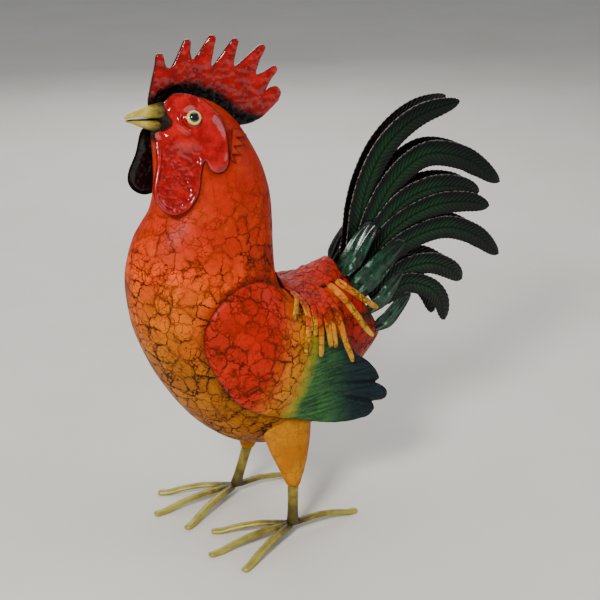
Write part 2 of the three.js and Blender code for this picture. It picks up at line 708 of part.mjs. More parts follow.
for (const [name, leg] of Object.entries(stance)) {
  const toFoot = (geometry) => geometry.translate(leg.ankleX, leg.side * ANKLE.y, 0);
  add(`thigh_${name}`, thigh(leg), 'thigh');
  add(`shank_${name}`, shank(leg), 'leg');
  const { left, right } = toeReach;
  const [inner, outer] = name === 'left' ? [right, left] : [left, right];
  add(`long_toe_${name}`, toFoot(bar(longToePath, 0)), 'leg');
  add(`inner_toe_${name}`, toFoot(sideToe(inner)), 'leg');
  add(`outer_toe_${name}`, toFoot(sideToe(outer)), 'leg');
}

// The origin is under the middle of the whole bird, on the ground.
const box = new THREE.Box3().setFromObject(rooster);
const middle = box.getCenter(new THREE.Vector3());
rooster.position.set(-middle.x, -middle.y, -box.min.z);

export default rooster;
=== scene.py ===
"""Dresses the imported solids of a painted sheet-metal rooster.

The shaping is done in millimetres on the maker's side drawing: x runs from beak to tail,
z is the height, and the bird's left side is towards -y. to_place() then brings a piece into
the shared frame, in metres.
"""
from contextlib import contextmanager

import bpy
import numpy as np
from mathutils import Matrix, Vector, noise
from mathutils.bvhtree import BVHTree


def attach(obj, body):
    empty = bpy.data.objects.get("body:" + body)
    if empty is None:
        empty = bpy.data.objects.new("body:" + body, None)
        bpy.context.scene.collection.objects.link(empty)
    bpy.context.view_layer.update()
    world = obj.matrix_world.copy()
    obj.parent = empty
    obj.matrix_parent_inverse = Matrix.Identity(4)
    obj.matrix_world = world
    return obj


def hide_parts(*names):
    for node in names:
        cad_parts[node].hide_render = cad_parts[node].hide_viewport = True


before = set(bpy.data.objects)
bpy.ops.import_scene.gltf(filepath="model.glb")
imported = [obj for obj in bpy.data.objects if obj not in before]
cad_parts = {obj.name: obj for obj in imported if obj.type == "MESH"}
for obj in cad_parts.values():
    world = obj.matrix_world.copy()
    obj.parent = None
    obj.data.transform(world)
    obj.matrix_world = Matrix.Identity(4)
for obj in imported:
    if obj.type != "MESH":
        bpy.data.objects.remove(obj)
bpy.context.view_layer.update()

MM = 0.001
DRAWING_SHIFT = (-96.27, 7.39)      # from the drawing's x and middle plane to the shared frame
SHEET = 1.5                         # thickness of most of the sheet metal

# ---------- drawing

BODY = [                            # back point, breast point, half width
    ((-96, 631), (-124, 629), 13), ((-65, 617), (-147, 612), 32), ((-38, 594), (-152, 588), 40),
    ((-19, 566), (-150, 556), 45), ((0, 530), (-150, 520), 52), ((10, 490), (-157, 480), 60),
    ((13, 448), (-180, 446), 68), ((13, 408), (-192, 404), 77), ((16, 374), (-192, 356), 85),
    ((26, 355), (-180, 303), 90), ((44, 350), (-146, 231), 92), ((62, 353), (-98, 168), 90),
    ((80, 361), (-30, 124), 84), ((92, 367), (50, 124), 72), ((100, 370), (117, 179), 56),
    ((106, 371), (180, 242), 43), ((119, 360), (180, 256), 33),
]
TAIL_END = (157, 310)
COMB_FINGERS = [                    # tip, and the valley behind it
    ((-137, 686), (-121, 668)), ((-98, 700), (-91, 675)), ((-63, 702), (-66, 663)),
    ((-31, 695), (-34, 660)), ((8, 683), (-4, 647)), ((26, 653), (10, 624)),
]
COMB_HEEL = [(18, 628), (27, 627), (32, 618), (28, 608)]
COMB_FRONT = [(-143, 617), (-155, 622), (-151, 644)]
COMB_BASE = [(22, 603), (2, 588), (-18, 582), (-38, 584), (-60, 600), (-90, 615), (-125, 612)]
FINGER_RADIUS = 5.4
FINGER_FLANK = 12
FINGER_FLARE = 1.5
COMB_EDGE = 1.8
COMB_PUFF = 2.6
FACE_EDGE = [
    (-141, 627), (-128, 637), (-108, 636), (-88, 627), (-72, 611), (-66, 592), (-65, 566),
    (-67, 549), (-75, 539), (-85, 537), (-94, 543), (-99, 554), (-105, 540), (-108, 522), (-114, 506),
    (-128, 493), (-145, 490), (-160, 498), (-169, 512), (-169, 529), (-161, 552), (-158, 575),
    (-155, 590), (-143, 594), (-135, 603), (-139, 616), (-141, 627),
]
WATTLE_TOP = (588, 27)              # height, and reach from the middle
WATTLE_END = (492, 52)
EYE = (-109, 609)
BEAK_UPPER = [                      # x, low edge, high edge, half width
    (-130, 604, 627, 19.5), (-136, 605, 626, 18), (-152, 606, 623, 14.5), (-166, 609, 619, 10),
    (-178, 609.5, 615, 6), (-186, 608, 611.5, 2.2),
]
BEAK_LOWER = [
    (-128, 585, 604, 21), (-134, 586, 604, 20), (-150, 588.5, 605, 14.5),
    (-164, 594.5, 606, 9.5), (-176, 600.5, 607, 5), (-184, 603.8, 606.5, 2.2),
]
NAPE_TABS = [(-56, 590), (-42, 586), (-27, 573), (-51, 577), (-37, 565), (-57, 567), (-46, 554),
             (-61, 558), (-56, 545), (-65, 552)]
WING_SHOULDER = [
    (8, 366), (-31, 389), (-60, 393), (-86, 384), (-108, 367), (-121, 346), (-125, 322),
    (-119, 294), (-104, 263), (-82, 232), (-52, 208), (-20, 192), (20, 176), (60, 164), (98, 158),
    (120, 158),
]
# lobes of the fan: from one valley over the tip to the next
WING_ENDS = [((120, 158), (138, 166), (134, 179)), ((134, 179), (160, 188), (134, 210)),
             ((134, 210), (144, 222), (112, 256))]
# x, half width, height over the back
CAPE = [(17, 30, 8), (30, 36, 4), (50, 38, 2.5), (70, 39, 3), (90, 39, 4), (107, 34, 6)]
# x of the root, free end
STRIPS = [(22, (1, 338)), (29, (29, 313)), (35, (15, 285)), (43, (36, 305)), (49, (45, 272)),
          (55, (63, 281)), (62, (72, 278)), (69, (100, 250)), (84, (141, 275)), (97, (157, 308))]
FEATHERS = [                        # half width, distance of the free end from the middle, spine
    (18, 17, [(134, 352), (148, 420), (163, 480), (192, 530), (240, 565), (303, 580)]),
    (19, 17, [(140, 346), (164, 411), (203, 476), (256, 508), (320, 494), (379, 453)]),
    (18, 14, [(146, 340), (176, 400), (214, 442), (262, 458), (306, 455), (346, 442)]),
    (17, 18, [(150, 334), (180, 388), (220, 418), (272, 433), (320, 431), (362, 419)]),
    (17, 17, [(156, 326), (182, 361), (225, 388), (285, 398), (340, 378), (384, 341)]),
    (16, 16, [(162, 312), (184, 326), (220, 346), (262, 348), (298, 332), (321, 312)]),
    (15, 16, [(168, 298), (188, 311), (220, 325), (258, 313), (283, 288), (294, 253)]),
]
COVERTS = [                         # half width, root reach, reach, tilt, spine
    (14, 20, 27, 8, [(116, 357), (137, 393), (163, 428)]),
    (19, 22, 41, 3, [(121, 322), (160, 363), (202, 399)]),
    (12.5, 22, 47, 0, [(146, 290), (176, 329), (198, 356)]),
    (12.5, 27, 44, 2, [(162, 266), (187, 293), (214, 320)]),
]
# height, x, distance from the middle, half lengths
THIGH = [(188, 9, 45, 42, 22), (160, 12, 50, 38, 21), (128, 13, 58, 30, 18), (98, 14, 64, 19, 13.5),
         (76, 14, 67, 10, 10)]
KNEE = (67, 73.5)                   # distance from the middle, height
ANKLE = (69, 16.8)
STANCE = {"left": (-1, 14, 12), "right": (1, 8, -12)}     # side, knee x, ankle x
# share of the toe, height of its underside
TOE_ARCH = [(0, 11), (0.12, 11), (0.4, 11.5), (0.7, 6), (0.88, 0), (1, 0)]
# tip of each toe, from the ankle
TOES = {"right": (-105, 50), "middle": (-134, -7), "left": (-109, -65), "back": (108, 5)}

# ---------- bench tools


def through(points, count):
    """count + 1 points on a smooth curve through the given ones, with its ends kept."""
    p = np.array(points, float)
    p = np.vstack([2 * p[0] - p[1], p, 2 * p[-1] - p[-2]])
    made = []
    for i in range(count + 1):
        whole = min(int(i / count * (len(p) - 3)), len(p) - 4)
        t = i / count * (len(p) - 3) - whole
        a, b, c, d = p[whole:whole + 4]
        made.append(b + 0.5 * t * (c - a + t * (2 * a - 5 * b + 4 * c - d + t * (3 * (b - c) + d - a))))
    return np.array(made)


def ease(value, low, high):
    t = np.clip((np.asarray(value, float) - low) / (high - low), 0, 1)
    return t * t * (3 - 2 * t)


def bump(distance, width):
    return np.exp(-(np.asarray(distance) / width) ** 2)


def take(piece):
    bpy.ops.object.select_all(action="DESELECT")
    piece.select_set(True)
    bpy.context.view_layer.objects.active = piece


@contextmanager
def edit_mode():
    bpy.ops.object.mode_set(mode="EDIT")
    yield bpy.ops.mesh
    bpy.ops.object.mode_set(mode="OBJECT")


def turn_out(piece, work):
    """Turns the faces with a mesh operator: all outwards, or all over."""
    take(piece)
    with edit_mode() as mesh:
        mesh.select_all(action="SELECT")
        work(mesh)


def named(name):
    """The primitive just added, with its name."""
    piece = bpy.context.object
    piece.name = piece.data.name = name
    return piece


def points_of(piece):
    co = np.empty(len(piece.data.vertices) * 3, np.float32)
    piece.data.vertices.foreach_get("co", co)
    return co.reshape(-1, 3).astype(float)


def set_points(piece, co):
    piece.data.vertices.foreach_set("co", np.asarray(co, np.float32).ravel())
    piece.data.update()


def mark(piece, name, values):
    """A value kept at every point of the sheet for its paint to read."""
    layer = piece.data.attributes.new(name, "FLOAT", "POINT")
    layer.data.foreach_set("value", np.asarray(values, np.float32))


def marks_of(piece, name):
    values = np.empty(len(piece.data.vertices), np.float32)
    piece.data.attributes[name].data.foreach_get("value", values)
    return values.astype(float)


def apply_modifier(piece, kind, **settings):
    take(piece)
    modifier = piece.modifiers.new(kind.lower(), kind)
    for key, value in settings.items():
        setattr(modifier, key, value)
    bpy.ops.object.modifier_apply(modifier=modifier.name)


def outward(piece):
    turn_out(piece, lambda mesh: mesh.normals_make_consistent(inside=False))


def rounded(piece, levels=1):
    apply_modifier(piece, "SUBSURF", levels=levels, render_levels=levels)


def thicken(piece, thickness, *paints):
    """Gives a sheet its thickness inwards: the first paint outside, the second inside."""
    for paint in paints:
        piece.data.materials.append(paint)
    apply_modifier(piece, "SOLIDIFY", thickness=thickness, offset=-1,
                   material_offset=len(paints) - 1)


def to_place(piece):
    """From the drawing's millimetres to the shared frame in metres."""
    take(piece)
    set_points(piece, (points_of(piece) + (*DRAWING_SHIFT, 0)) * MM)
    bpy.ops.object.shade_smooth()


def hammered(x, z, pitch, seed):
    """Hammer marks: 0 between the blows and 1 in the middle of each."""
    deep = [noise.voronoi(Vector((a / pitch, b / pitch, seed)))[0][0] for a, b in zip(x, z)]
    return np.clip(1 - (np.array(deep) / 0.62) ** 2, 0, 1)


def waves(x, y, z, size, seed):
    return np.array([noise.noise(Vector(p) / size + Vector((seed, 0, 0))) for p in zip(x, y, z)])


def drawn_out(name, rings, rounds=1):
    """A closed form drawn out of a disc, ring by ring; each ring is an array of points."""
    count = len(rings[0])
    bpy.ops.mesh.primitive_circle_add(vertices=count, radius=1, fill_type="NGON")
    piece = named(name)
    with edit_mode() as mesh:
        for _ in rings[1:]:
            mesh.extrude_region_move(TRANSFORM_OT_translate={"value": (0, 0, 1)})
    co = points_of(piece)
    turn = 2 * np.pi / count
    around = np.round(np.arctan2(co[:, 1], co[:, 0]) / turn).astype(int) % count
    level = np.round(co[:, 2]).astype(int)
    set_points(piece, np.array(rings)[level, around])
    outward(piece)
    rounded(piece, rounds)
    return piece


def turns(count):
    """Cosines and sines once round."""
    turn = 2 * np.pi * np.arange(count) / count
    return np.cos(turn), np.sin(turn)


def ellipse_ring(middle, reach, across, count):
    along, aside = turns(count)
    return np.array(middle) + np.outer(along, reach) + np.outer(aside, across)


def smaller(ring, size, shift):
    middle = ring.mean(0)
    return middle + (ring - middle) * size + shift


def inside_edge(points, edge):
    (x0, z0), (x1, z1) = edge.T, np.roll(edge, -1, 0).T
    px, pz = points[:, :1], points[:, 2:]
    crosses = (z0 > pz) != (z1 > pz)
    with np.errstate(divide="ignore", invalid="ignore"):
        at = (x1 - x0) * (pz - z0) / (z1 - z0) + x0
    return (np.sum(crosses & (px < at), axis=1) % 2) == 1


def nearest_on(edge, p):
    """The nearest point of a closed outline to each point, and its distance."""
    run = np.roll(edge, -1, 0) - edge
    t = np.sum((p[:, None] - edge) * run, 2) / np.maximum(np.sum(run * run, 1), 1e-9)
    foot = edge + np.clip(t, 0, 1)[..., None] * run
    far = np.linalg.norm(p[:, None] - foot, axis=2)
    rows, best = np.arange(len(p)), far.argmin(1)
    return foot[rows, best], far[rows, best]


def cut_sheet(name, outline, cell):
    """A flat sheet cut to a side-view outline, its edge filed true; "rim" is the distance to it."""
    edge = np.array(outline, float)
    low, high = edge.min(0), edge.max(0)
    nx, nz = [max(2, int(round(s))) for s in (high - low) / cell]
    bpy.ops.mesh.primitive_grid_add(x_subdivisions=nx, y_subdivisions=nz, size=2)
    piece = named(name)
    flat = low + (points_of(piece)[:, :2] + 1) / 2 * (high - low)
    set_points(piece, np.insert(flat, 1, 0, axis=1))
    waste = ~inside_edge(np.array([f.center for f in piece.data.polygons]), edge)
    with edit_mode() as mesh:
        mesh.select_mode(type="FACE")
    piece.data.polygons.foreach_set("select", waste)
    with edit_mode() as mesh:
        mesh.delete(type="FACE")
        mesh.select_mode(type="VERT")
        mesh.select_all(action="SELECT")
        mesh.delete_loose()
    uses = np.bincount([corner.edge_index for corner in piece.data.loops])
    on_rim = np.zeros(len(piece.data.vertices), bool)
    for line in piece.data.edges:
        if uses[line.index] == 1:
            on_rim[list(line.vertices)] = True
    co = points_of(piece)
    co[on_rim, ::2] = nearest_on(edge, co[on_rim, ::2])[0]
    set_points(piece, co)
    piece.data.vertices.foreach_set("select", ~on_rim)
    with edit_mode() as mesh:
        mesh.vertices_smooth(factor=0.5, repeat=4)
    mark(piece, "rim", nearest_on(edge, points_of(piece)[:, ::2])[1])
    return piece


def side_view(piece):
    co = points_of(piece)
    return co[:, 0], co[:, 2], marks_of(piece, "rim")


def off_line(line, x, z):
    """How far each point of the side view lies from a line of points."""
    return np.linalg.norm(np.column_stack([x, z])[:, None] - line[None], axis=2).min(1)


def hang(piece, reach):
    """Bends a flat sheet over the bird's left side: reach(x, z) from the middle."""
    co = points_of(piece)
    co[:, 1] = -reach(co[:, 0], co[:, 2])
    set_points(piece, co)


def face_left(piece):
    """Turns a sheet so that its painted face looks to the bird's left."""
    if sum(f.normal.y * f.area for f in piece.data.polygons) > 0:
        turn_out(piece, lambda mesh: mesh.flip_normals())


def blade(name, along, across):
    """A flat blank for a feather or a strip: u from root to tip, v from edge to edge."""
    bpy.ops.mesh.primitive_grid_add(x_subdivisions=along, y_subdivisions=across, size=2)
    piece = named(name)
    co = points_of(piece)
    return piece, (co[:, 0] + 1) / 2, co[:, 1]


def other_side(piece, name, middle):
    """The same piece pressed for the bird's right side."""
    twin = piece.copy()
    twin.data = piece.data.copy()
    twin.name = twin.data.name = name
    bpy.context.scene.collection.objects.link(twin)
    co = points_of(twin)
    co[:, 1] = 2 * middle - co[:, 1]
    set_points(twin, co)
    twin.data.flip_normals()
    return twin


class Lay:
    """How far something stands from the middle over the side view, read from a smooth grid."""

    def __init__(self, reach, low, high, step, blur):
        self.low, self.step = np.array(low, float), step
        count = np.ceil((np.array(high) - self.low) / step).astype(int) + 1
        xs, zs = (first + step * np.arange(n) for first, n in zip(self.low, count))
        grid = np.array([[reach(x, z) for z in zs] for x in xs])
        for _ in range(blur):
            wide = np.pad(grid, 1, mode="edge")
            grid = (wide[:-2, 1:-1] + wide[2:, 1:-1] + wide[1:-1, :-2] + wide[1:-1, 2:] + 4 * grid) / 8
        self.grid = grid

    def __call__(self, x, z):
        u, w = (np.clip((np.asarray(at, float) - low) / self.step, 0, count - 1.001)
                for at, low, count in zip((x, z), self.low, self.grid.shape))
        i, j = u.astype(int), w.astype(int)
        a, b = u - i, w - j
        g = self.grid
        low = g[i, j] * (1 - a) + g[i + 1, j] * a
        high = g[i, j + 1] * (1 - a) + g[i + 1, j + 1] * a
        return low * (1 - b) + high * b


# ---------- paint shop


def rgb(text):
    """A paint chip such as "c2401c" as linear colour."""
    parts = [int(text[i:i + 2], 16) / 255 for i in (0, 2, 4)]
    return tuple(((p + 0.055) / 1.055) ** 2.4 if p > 0.04 else p / 12.92 for p in parts) + (1.0,)


class Level:
    """A value or colour that varies over a piece; what is worked out from it is nodes too."""

    def __init__(self, paint, socket):
        self.paint, self.socket = paint, socket

    def __add__(self, other):
        return self.paint.math("ADD", self, other)

    def __sub__(self, other):
        return self.paint.math("SUBTRACT", self, other)

    def __mul__(self, other):
        return self.paint.math("MULTIPLY", self, other)

    def most(self, other):
        return self.paint.math("MAXIMUM", self, other)

    def left(self):
        """What it lacks of 1."""
        return self.paint.math("SUBTRACT", 1.0, self, clamp=True)

    def ramp(self, low, high, start=0.0, end=1.0):
        """Goes smoothly from start to end while the level goes from low to high."""
        return self.paint.add("ShaderNodeMapRange", "Result", {
            "Value": self, "From Min": low, "From Max": high, "To Min": start, "To Max": end},
            interpolation_type="SMOOTHSTEP")

    def between(self, first, second):
        """The first colour where the level is 0 and the second where it is 1."""
        return self.paint.add("ShaderNodeMix", 2, {0: self, 6: first, 7: second}, data_type="RGBA")

    def colours(self, *stops):
        made = self.paint.add("ShaderNodeValToRGB", "Color", {"Fac": self})
        band = made.socket.node.color_ramp
        while len(band.elements) < len(stops):
            band.elements.new(0.5)
        for element, (position, chip) in zip(band.elements, stops):
            element.position = position
            element.color = rgb(chip)
        return made


class Paint:
    """A painted finish, mixed from procedural nodes."""

    def __init__(self, name):
        self.material = bpy.data.materials.new(name)
        self.material.use_nodes = True
        self.tree = self.material.node_tree
        self.shader = self.tree.nodes["Principled BSDF"]
        self.place = self.add("ShaderNodeTexCoord", "Object")

    def wire(self, socket, value):
        if isinstance(value, Level):
            self.tree.links.new(value.socket, socket)
        else:
            socket.default_value = rgb(value) if isinstance(value, str) else value

    def add(self, kind, output, links={}, **settings):
        """Adds a node and gives what one of its outputs holds."""
        node = self.tree.nodes.new(kind)
        for key, value in settings.items():
            setattr(node, key, value)
        for key, value in links.items():
            self.wire(node.inputs[key], value)
        return Level(self, node.outputs[output])

    def read(self, name):
        return self.add("ShaderNodeAttribute", "Fac", attribute_name=name)

    def axis(self, letter, of=None):
        return self.add("ShaderNodeSeparateXYZ", letter, {"Vector": of or self.place})

    def math(self, operation, a, b, clamp=False):
        return self.add("ShaderNodeMath", 0, {0: a, 1: b}, operation=operation, use_clamp=clamp)

    def mottle(self, size, detail=4.0, roughness=0.55, stretch=None):
        at = self.place
        if stretch:
            at = self.add("ShaderNodeMapping", 0, {"Vector": at, "Scale": stretch})
        return self.add("ShaderNodeTexNoise", "Fac", {
            "Vector": at, "Scale": 1 / size, "Detail": detail, "Roughness": roughness})

    def drift(self, size, reach, detail=4.0, roughness=0.55, stretch=None):
        """An uneven push to either side of 0."""
        return (self.mottle(size, detail, roughness, stretch) - 0.5) * reach

    def uneven(self, size, low, high, detail=4.0):
        return self.mottle(size, detail).ramp(0.3, 0.7, low, high)

    def set(self, **finish):
        names = {"colour": "Base Color", "rough": "Roughness", "specular": "Specular IOR Level",
                 "metal": "Metallic", "coat": "Coat Weight", "coat_rough": "Coat Roughness"}
        for name, value in finish.items():
            self.wire(self.shader.inputs[names[name]], value)

    def raise_by(self, *heights):
        """Fine relief from (height, depth in metres) pairs, one over the other."""
        links = {"Strength": 1.0}
        for height, depth in heights:
            links["Height"], links["Distance"] = height, depth
            links["Normal"] = self.add("ShaderNodeBump", "Normal", links)
        self.wire(self.shader.inputs["Normal"], links["Normal"])

    def crackle(self, size, wander, width, seed):
        """Dried cracks round cells of that size: 1 in a crack and 0 on the cell."""
        push = self.add("ShaderNodeTexNoise", "Color", {
            "Vector": self.place, "Scale": 2.2 / size, "Detail": 5.0, "Roughness": 0.58})
        moved = self.add("ShaderNodeMixRGB", 0, {
            "Fac": wander, "Color1": self.place, "Color2": push}, blend_type="LINEAR_LIGHT")
        shift = self.add("ShaderNodeMapping", 0, {"Vector": moved, "Location": (seed, seed / 2, 0)})
        far = self.add("ShaderNodeTexVoronoi", "Distance", {"Vector": shift, "Scale": 1 / size},
                       feature="DISTANCE_TO_EDGE")
        reach = self.mottle(size * 1.9).ramp(0.32, 0.66, 0.12 * width / size, width / size)
        return (reach - far).ramp(0.0, 0.5 * width / size), far, shift


def crackled_finish(paint, base, crack="341405", lines=1.0, sizes=(0.021, 0.011, 0.0058)):
    """Crackled paint over any base colour: large cracks, small ones, dirt along them."""
    wide, far, shift = paint.crackle(sizes[0], sizes[0] * 0.34, 0.00105, 0.0)
    middle = paint.crackle(sizes[1], sizes[1] * 0.38, 0.00065, 3.7)[0]
    hair = paint.crackle(sizes[2], sizes[2] * 0.4, 0.00042, 7.1)[0]
    hair = hair * paint.mottle(0.03, 3.0).ramp(0.5, 0.62, 0.0, 0.75)
    fine = (middle * paint.mottle(0.045, 3.0).ramp(0.4, 0.56)).most(hair)
    cracks = paint.math("MULTIPLY", wide.most(fine * 0.85), lines, clamp=True)
    cell = paint.add("ShaderNodeTexVoronoi", "Color", {"Vector": shift, "Scale": 1 / sizes[0]},
                     feature="F1")
    tone = (paint.axis("X", cell).ramp(0.0, 1.0, 0.0, 0.35) * lines).between(base, "641406")
    tone = paint.mottle(0.006, 6.0, 0.72).ramp(0.52, 0.78, 0.0, 0.3).between(tone, "d8741c")
    tone = paint.mottle(0.014, 5.0, 0.7).ramp(0.5, 0.7, 0.0, 0.3).between(tone, "6a1a08")
    dirt = far.ramp(0.0, 0.2).left() * paint.mottle(0.03).ramp(0.35, 0.65, 0.05, 0.6)
    dirt = paint.math("MULTIPLY", dirt, lines, clamp=True)
    colour = cracks.between(dirt.between(tone, "4c1c08"), crack)
    paint.set(colour=colour, rough=paint.uneven(0.012, 0.38, 0.56, 5.0) + cracks * 0.35,
              specular=0.12, coat=0.02, coat_rough=0.2)
    paint.raise_by((paint.mottle(0.016), 0.0006), (paint.mottle(0.003, 3.0), 0.00014),
                   (paint.math("SUBTRACT", 1.0, cracks), 0.0007))
    return colour


def body_paint():
    paint = Paint("neck_and_breast_crackle")
    x, z = paint.axis("X"), paint.axis("Z")
    wobble = paint.drift(0.07, 0.2)
    tone = (z + wobble + x * 0.34).ramp(0.06, 0.56).colours(
        (0.0, "a8640a"), (0.2, "bc6e08"), (0.36, "e46404"), (0.54, "f44c04"), (0.74, "cc2c06"),
        (1.0, "a81c06"))
    cloud = paint.mottle(0.035, 5.0, 0.62).ramp(0.45, 0.7, 0.0, 0.55)
    tone = (cloud * z.ramp(0.36, 0.46)).between(tone, "d8450c")
    rump = x.ramp(-0.015, 0.02) * z.ramp(0.2, 0.26)
    tone = rump.between(tone, "bc1406")
    green = (x + paint.drift(0.03, 0.09)).ramp(0.04, 0.062) * z.ramp(0.27, 0.3)
    tone = green.between(tone, "0c2c18")
    few = (z + wobble * 0.5).ramp(0.4, 0.56, 1.0, 0.12)
    tone = crackled_finish(paint, tone, lines=few)
    front = x.ramp(-0.212, -0.22) * z.ramp(0.57, 0.58)
    skin = paint.mottle(0.0035, 5.0).ramp(0.45, 0.7).between("0b0503", "33200d")
    # "edge" darkens to painted shade: round the wings and face plates on the body, and a painted shadow
    # along the nape tabs
    paint.set(colour=paint.read("edge").between(front.between(tone, skin), "2a0a04"))
    return paint.material


def enamel_paint():
    """Crimson enamel; "shade" darkens it with painted shade, and "rim" draws a painted shade along its
    edge.
    """
    paint = Paint("crimson_enamel")
    shade = paint.read("shade")
    tone = paint.mottle(0.016, 5.0, 0.65).ramp(0.38, 0.66).between("8c0204", "bc0605")
    # darker red as painted shade in the hammer marks, and on the comb also towards its base
    tone = (paint.read("dent_shade") * 0.55).between(tone, "540103")
    # speckles at the edge of the painted shade band
    shade_speckle = paint.mottle(0.003, 6.0, 0.7).ramp(0.5, 0.66) * shade.ramp(0.02, 0.3, 0.0, 0.9)
    cloud = paint.drift(0.006, 0.9, 5.0, 0.65) * shade.ramp(0.0, 0.1)
    dark = (shade + cloud).ramp(0.3, 0.95).most(shade_speckle)
    # painted shade along the turned-in edge of each sheet
    tone = (paint.read("rim").ramp(0.2, 2.4).left() * 0.75).between(tone, "260204")
    paint.set(colour=dark.between(tone, "060202"), rough=paint.uneven(0.01, 0.08, 0.15),
              specular=dark.ramp(0.0, 1.0, 0.22, 0.12), coat=dark.ramp(0.0, 1.0, 0.6, 0.1),
              coat_rough=0.04)
    paint.raise_by((paint.mottle(0.009, 2.0), 0.0005), (paint.mottle(0.0016, 3.0), 0.00005))
    return paint.material


def inside_paint():
    paint = Paint("inside_black")
    paint.set(colour=paint.mottle(0.008, 5.0).ramp(0.4, 0.75).between("050404", "150e0a"),
              specular=0.3, rough=paint.uneven(0.01, 0.22, 0.42))
    paint.raise_by((paint.mottle(0.005), 0.0004))
    return paint.material


def horn_paint():
    paint = Paint("beak_olive_gold")
    x, z = paint.axis("X"), paint.axis("Z")
    tone = paint.mottle(0.012).ramp(0.35, 0.7).between("a48c24", "c8b450")
    under = z.ramp(0.602, 0.592) * x.ramp(-0.275, -0.245, 0.35, 1.0)
    tone = (under * 0.85).between(tone, "4a2a0c")
    tone = (x + paint.drift(0.008, 0.02)).ramp(-0.262, -0.232).between(tone, "120a05")
    # the "edge" mark paints near-black shade in the mouth gap
    paint.set(colour=paint.read("edge").between(tone, "030201"), specular=0.3,
              rough=paint.uneven(0.006, 0.24, 0.4), metal=0.1)
    paint.raise_by((paint.mottle(0.006), 0.0004), (paint.mottle(0.0012, 3.0), 0.0001))
    return paint.material


def eye_paint(name, light, dark, rough):
    paint = Paint(name)
    paint.set(colour=paint.mottle(0.004).ramp(0.4, 0.7).between(light, dark),
              rough=paint.uneven(0.003, rough, rough + 0.06), coat=1.0, coat_rough=0.03)
    paint.raise_by((paint.mottle(0.004, 2.0), 0.0001))
    return paint.material


def wing_paint():
    """Crackled red that turns orange and yellow, then brushed green and navy on the fan."""
    paint = Paint("wing_red_to_navy")
    x, z = paint.axis("X"), paint.axis("Z")
    along = x - z * 0.41 + paint.drift(0.012, 0.03, 5.0, 0.65, stretch=(0.35, 1.0, 1.0))
    tone = along.ramp(-0.34, -0.165).colours(
        (0.0, "bc2008"), (0.3, "c81c06"), (0.5, "c82806"), (0.68, "e66408"), (0.86, "e08c0a"),
        (1.0, "d89c18"))
    low = z.ramp(0.25, 0.19) * along.ramp(-0.26, -0.2, 0.0, 0.6)
    tone = crackled_finish(paint, low.between(tone, "bc700c"), crack="4a1406", lines=0.9,
                           sizes=(0.02, 0.0105, 0.006))
    streak = paint.mottle(0.004, 6.0, 0.72, stretch=(0.08, 0.0, 1.0))
    green = streak.ramp(0.36, 0.66).between("10301e", "447a3a")
    navy = streak.ramp(0.3, 0.7).between("0a1216", "1c3034")
    fan = (x + (streak - 0.5) * 0.06).ramp(-0.055, 0.015).between(green, navy)
    tone = along.ramp(-0.183, -0.174).between(tone, fan)
    yellow = along.ramp(-0.194, -0.183) * along.ramp(-0.16, -0.178)
    tone = (yellow * 0.65).between(tone, "a09a24")
    # near black in the deep fan grooves as painted shade
    tone = (paint.read("dent_shade") * 0.8).between(tone, "04080a")
    # painted shade along the turned-in edge of the shoulder
    rim = paint.read("rim").ramp(0.3, 2.6).left()
    paint.set(colour=(rim * 0.7).between(tone, "1c0704"))
    return paint.material


def cape_paint():
    """Rough red; "along" runs it to orange and ochre down the strips."""
    paint = Paint("saddle_red_to_ochre")
    tone = (paint.read("along") + paint.drift(0.008, 0.3, 5.0, 0.65)).colours(
        (0.0, "ac1406"), (0.2, "bc2008"), (0.32, "cc480c"), (0.46, "d87c12"), (0.7, "dc9a20"),
        (1.0, "d8a030"))
    tone = crackled_finish(paint, tone, crack="341406", lines=0.7, sizes=(0.015, 0.008, 0.005))
    # the "edge" mark darkens to painted shade along the cape's sides
    paint.set(colour=paint.read("edge").between(tone, "1c0a04"))
    return paint.material


def feather_paint():
    """Green along the spine, black at the edges, with lighter barbs: painted light on the ridges and
    painted shade between them, and a painted highlight along the upper edge.
    """
    paint = Paint("sickle_feather_green")
    side = paint.math("ABSOLUTE", paint.read("across"), 0.0)
    centre = (side + paint.drift(0.02, 0.7)).ramp(0.15, 0.8).left()
    fresh = paint.read("along").ramp(0.45, 0.9).left()
    barb = paint.read("barb")
    # the barb ridges are painted lighter and the grooves between them darker, as painted light and
    # shade
    tone = (centre * fresh.ramp(0.0, 1.0, 0.2, 1.0)).between(
        barb.between("020202", "0c1211"), barb.between("020804", "0a4620"))
    # the dotted light line along the upper edge is a painted highlight
    bare = paint.read("edge") * paint.mottle(0.0035, 5.0, 0.7).ramp(0.46, 0.56)
    paint.set(colour=bare.between(tone, "7c786c"), specular=0.25,
              rough=paint.uneven(0.01, 0.3, 0.44, 5.0), metal=0.15)
    paint.raise_by((paint.mottle(0.003), 0.0002))
    return paint.material


def covert_paint():
    paint = Paint("covert_glossy_green")
    along = paint.read("along")
    streak = paint.mottle(0.0045, 5.0, 0.68, stretch=(0.3, 1.0, 0.3))
    tone = streak.ramp(0.35, 0.7).between("05170f", "1c4a32")
    # mint painted highlights on the crests of the creases
    crease_highlight = paint.mottle(0.012, 4.0, 0.6).ramp(0.56, 0.66) * paint.read("crease").ramp(0.45, 0.8)
    tone = (crease_highlight * along.ramp(0.85, 0.6) * 0.75).between(tone, "7cb49a")
    tone = along.ramp(0.55, 0.9, 0.0, 0.85).between(tone, "050807")
    paint.set(colour=paint.read("edge").between(tone, "020303"), specular=0.3,
              rough=paint.uneven(0.008, 0.2, 0.34), metal=0.1, coat=0.25, coat_rough=0.12)
    paint.raise_by((paint.mottle(0.006), 0.0005))
    return paint.material


def thigh_paint():
    paint = Paint("thigh_amber")
    tone = paint.mottle(0.03).ramp(0.35, 0.68).between("b46a04", "cc860c")
    crackled_finish(paint, tone, crack="4a2408", lines=0.22, sizes=(0.016, 0.009, 0.005))
    return paint.material


